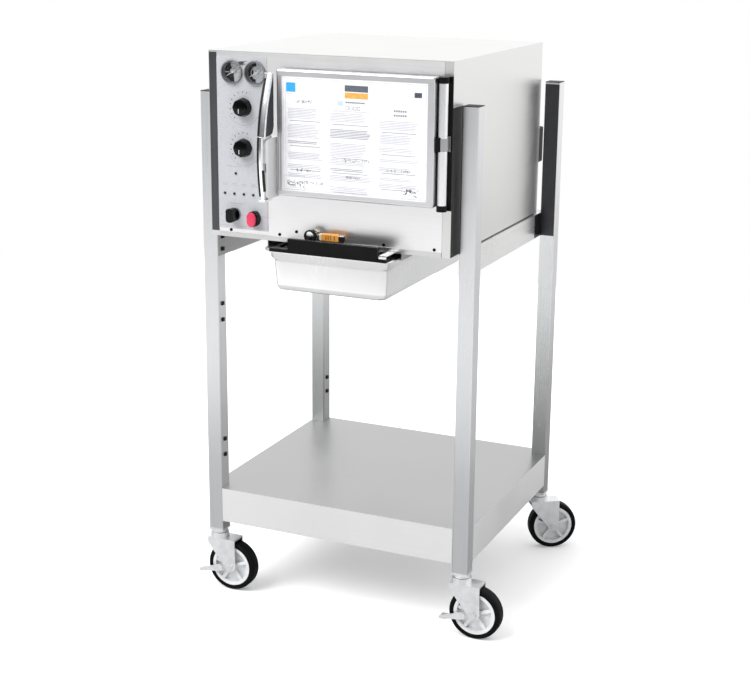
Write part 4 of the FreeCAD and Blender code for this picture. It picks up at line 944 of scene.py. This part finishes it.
def bow_line(z):
    """How far the strip's front lies behind its foremost point, at a height."""
    heights = [point[0] for point in bow]
    number = max(index for index in range(len(bow) - 1) if heights[index] <= z or index == 0)
    before = bow[max(number - 1, 0)]
    this, following = bow[number], bow[number + 1]
    after = bow[min(number + 2, len(bow) - 1)]
    share = (z - this[0]) / (following[0] - this[0])
    slope_a = (following[1] - before[1]) / (following[0] - before[0]) * (following[0] - this[0])
    slope_b = (after[1] - this[1]) / (after[0] - this[0]) * (following[0] - this[0])
    square = share * share
    cube = square * share
    return ((2 * cube - 3 * square + 1) * this[1] + (cube - 2 * square + share) * slope_a
            + (-2 * cube + 3 * square) * following[1] + (cube - square) * slope_b)


def bowed_strip(left, right, inset, thick, z0, z1, crown=0.0012, steps=44):
    """A strip that follows the bow, with a crowned front and rounded edges."""
    rings = []
    for number in range(steps + 1):
        z = z0 + (z1 - z0) * number / steps
        front = bow_front + bow_line(z) + inset
        middle = (left + right) / 2
        quarter = (right - left) * 0.32
        rings.append([(left, front + thick, z), (left, front + 0.0022, z), (left + 0.0006, front + crown, z),
                      (middle - quarter, front + 0.0003, z), (middle, front, z),
                      (middle + quarter, front + 0.0003, z), (right - 0.0006, front + crown, z),
                      (right, front + 0.0022, z), (right, front + thick, z)])
    return skin(rings)


chrome_haze_mm = 18.18
chrome = clouded_metal("bright_chromium_plate", "#EEEFF1", "#F7F8F9", chrome_haze_mm, 0.14, 0.24)
ear = 0.005
upper_ear = base_high.z + 0.0004
pin_radius_mm = 3.9
jog = base_high.z + 0.006
foot = handle_low.z + 0.012
tip_front = bow_front + bow[-1][1]
parts = [bowed_strip(strip_split, strip_right, 0.0, strip_thick, jog, handle_high.z - 0.0002),
         bowed_strip(lower_split - 0.0022, lower_right - 0.0030, 0.0, strip_thick, handle_low.z,
                     jog - 0.0004),
         slab(strip_left, lower_right + 0.0018, tip_front + 0.0002, tip_front + strip_thick - 0.0002,
              handle_high.z - 0.012, handle_high.z - 0.0004)]
for z in (handle_low.z, upper_ear):
    parts.append(slab(strip_left + 0.001, pin_x + 0.0078, bow_front + 0.0075, pin_y + 0.008, z, z + ear))
pin_mm = (upper_ear + ear - handle_low.z) * 1000
parts.append(turned([(pin_radius_mm, 0.0), (pin_radius_mm, pin_mm)], (pin_x, pin_y, handle_low.z),
                    (0, 0, 1), 24))
handle = piece("chromed_handle_strip", parts, [chrome], "handle", 0.0005, 50.0)
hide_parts("door_handle")
inlay = [bowed_strip(strip_left, strip_split - 0.0002, inlay_in, strip_thick - 0.0016, jog + 0.001,
                     handle_high.z - 0.0124),
         bowed_strip(strip_left, lower_split - 0.0024, inlay_in, strip_thick - 0.0016, foot, jog - 0.002),
         bowed_strip(lower_right - 0.0028, lower_right, 0.0016, strip_thick - 0.002, foot + 0.012,
                     base_low.z + 0.066)]
piece("handle_inlay", inlay, [black_nylon], "handle", smooth=50.0)
web_left = lower_right - 0.0035
web_thick = 0.003
web_low = base_high.z + 0.0058
web_high = handle_high.z - 0.0010
web_back = handle_high.y
web_steps = 14
web_rings = []
for x in (web_left, web_left + web_thick):
    ring = []
    for number in range(web_steps + 1):
        z = web_low + (web_high - web_low) * number / web_steps
        ring.append((x, bow_front + bow_line(z) + strip_thick - 0.001, z))
    ring += [(x, web_back, web_high), (x, web_back, base_high.z + 0.024),
             (x, web_back - 0.006, base_high.z + 0.010), (x, web_back - 0.018, web_low)]
    web_rings.append(ring)
# Painted shade and reflection: the web is dark to fill the dark wedge between the lever and the door.
web_steel = satin_steel("dark_painted_shade_web", "Z", "#4C4C50", "#5A5A5E", 0.42)
piece("handle_web", [skin(web_rings)], [web_steel], "handle")

# ---- drain valve ---------------------------------------------------------------------------------
# A plated brass quarter-turn valve. Its chromed lever has a black nut shroud, a cream washer, an
# orange dipped-vinyl sleeve with grip ribs, and a black end plug.
brass_grain_mm = 2.0
plated = clouded_metal("nickel_plated_brass", "#B9AE97", "#CCC4B2", brass_grain_mm, 0.24, 0.36, 0.12, 2.0)
finish_nodes(["drain_valve_body"], plated, 0.0008)
finish_nodes(["drain_lever"], chrome, 0.0008)
vinyl = moulded("dipped_orange_vinyl", "#DC9338", "#EAA64E", 0.42, 3.0, 0.15)
finish_nodes(["lever_sleeve"], vinyl, 0.0022)
lever_low, lever_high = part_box("drain_lever")
sleeve_low, sleeve_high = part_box("lever_sleeve")
valve_x, _, valve_z = joints["drain_lever_turn"]["pos_m"]
shroud = turned([(10.8, 0.0), (13.6, 0.0), (14.2, 1.2), (14.2, 9.0), (13.0, 10.2), (10.8, 10.2)],
                (valve_x, lever_low.y + 0.0002, valve_z), (0, 1, 0), 36, True)
piece("valve_nut_shroud", [shroud], [black_nylon], "lever")
cream = moulded("natural_nylon_washer", "#D8CDB4", "#E6DDC8", 0.5)
piece("lever_washer", [slab(sleeve_low.x - 0.007, sleeve_low.x - 0.0002, sleeve_low.y + 0.0002,
                            sleeve_high.y - 0.0002, sleeve_low.z + 0.0012, sleeve_high.z - 0.0012)],
      [cream], "lever", 0.0016)
# The grip ribs are coloured a darker orange than the sleeve.
aged_vinyl = moulded("dark_orange_rib_vinyl", "#8A5A24", "#9C6A30", 0.5)
ribs = [slab(sleeve_low.x + x, sleeve_low.x + x + 0.0022, sleeve_low.y - 0.0006, sleeve_low.y + 0.002,
             sleeve_low.z + 0.004, sleeve_high.z - 0.004) for x in (0.009, 0.015, 0.021, 0.030)]
piece("sleeve_ribs", ribs, [aged_vinyl], "lever", 0.0005)
piece("lever_end_plug", [slab(sleeve_high.x + 0.0002, lever_high.x + 0.0005, sleeve_low.y - 0.0004,
                              sleeve_high.y + 0.0002, sleeve_low.z + 0.0005, sleeve_high.z - 0.0035)],
      [black_nylon], "lever", 0.0016)

# ---- drain pan -----------------------------------------------------------------------------------
# A full-size gastronorm pan deep drawn from thin stainless: rolled rim, a stacking shoulder below
# it, drafted walls and large corner radii. The punch burnishes it a little smoother than the cabinet.
pan_low, pan_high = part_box("drain_pan")
rim_corner = 0.040
least_corner = 0.014
corner_share = 0.75
# Each point is how far in from the rim's edge it lies and its height over the pan's underside.
pan_profile = [(0.037, 0.0012), (0.030, 0.0030), (0.0258, 0.0085), (0.0245, 0.0150), (0.0200, 0.0690),
               (0.0186, 0.0730), (0.0136, 0.0768), (0.0131, 0.0945), (0.0124, 0.0968), (0.0105, 0.0980),
               (0.0016, 0.0980), (0.0004, 0.0972), (0.0, 0.0955), (0.0004, 0.0938), (0.0014, 0.0935),
               (0.0020, 0.0960), (0.0108, 0.0966), (0.0119, 0.0950), (0.0122, 0.0770), (0.0172, 0.0727),
               (0.0187, 0.0688), (0.0232, 0.0150), (0.0246, 0.0075), (0.0290, 0.0018), (0.037, 0.0)]
draw_tone = satin_steel("deep_drawn_stainless", "Z", "#EDEDED", "#F8F8F8", 0.24, 0.3)


def round_corners(x0, x1, y0, y1, radius, steps=10):
    """Points round a rectangle with rounded corners."""
    points = []
    for cx, cy, start in ((x1 - radius, y0 + radius, -90), (x1 - radius, y1 - radius, 0),
                          (x0 + radius, y1 - radius, 90), (x0 + radius, y0 + radius, 180)):
        for step in range(steps + 1):
            turn = math.radians(start + 90 * step / steps)
            points.append((cx + math.cos(turn) * radius, cy + math.sin(turn) * radius))
    return points


pan_rings = []
for inset, height in pan_profile:
    corner = max(rim_corner - inset * corner_share, least_corner)
    pan_rings.append([(x, y, pan_low.z + height)
                      for x, y in round_corners(pan_low.x + inset, pan_high.x - inset, pan_low.y + inset,
                                                pan_high.y - inset, corner)])
pan = piece("gastronorm_drain_pan", [skin(pan_rings)], [draw_tone], "pan", smooth=55.0)
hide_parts("drain_pan")

# ---- pan pull ------------------------------------------------------------------------------------
# A black coated steel bar on a thin black rail that hooks over the pan's rim, with a bare folded tab at
# its right end. The bar is black; the rail's black is painted shade, for the dark gap under the cabinet.
pull_low, pull_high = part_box("pan_pull")
# Painted shade: the thin rail under the bar is black for the dark gap under the cabinet.
finish_nodes(["pan_pull"], black_coat, 0.0010)
tab_left = pull_high.x - 0.0183
tab_thick = 0.0014
tab_front = pull_low.y + 0.0030
tab_back = front_low.y - 0.0030
tab_top = pull_low.z + 0.0150
tab = slab(tab_left, pull_high.x - 0.0005, tab_front, tab_front + tab_thick, pull_low.z + 0.0082, tab_top)
fold = slab(tab_left, pull_high.x - 0.0005, tab_front, tab_back, tab_top - tab_thick, tab_top)
piece("pan_pull_tab", [tab, fold], [front_steel], "pan")
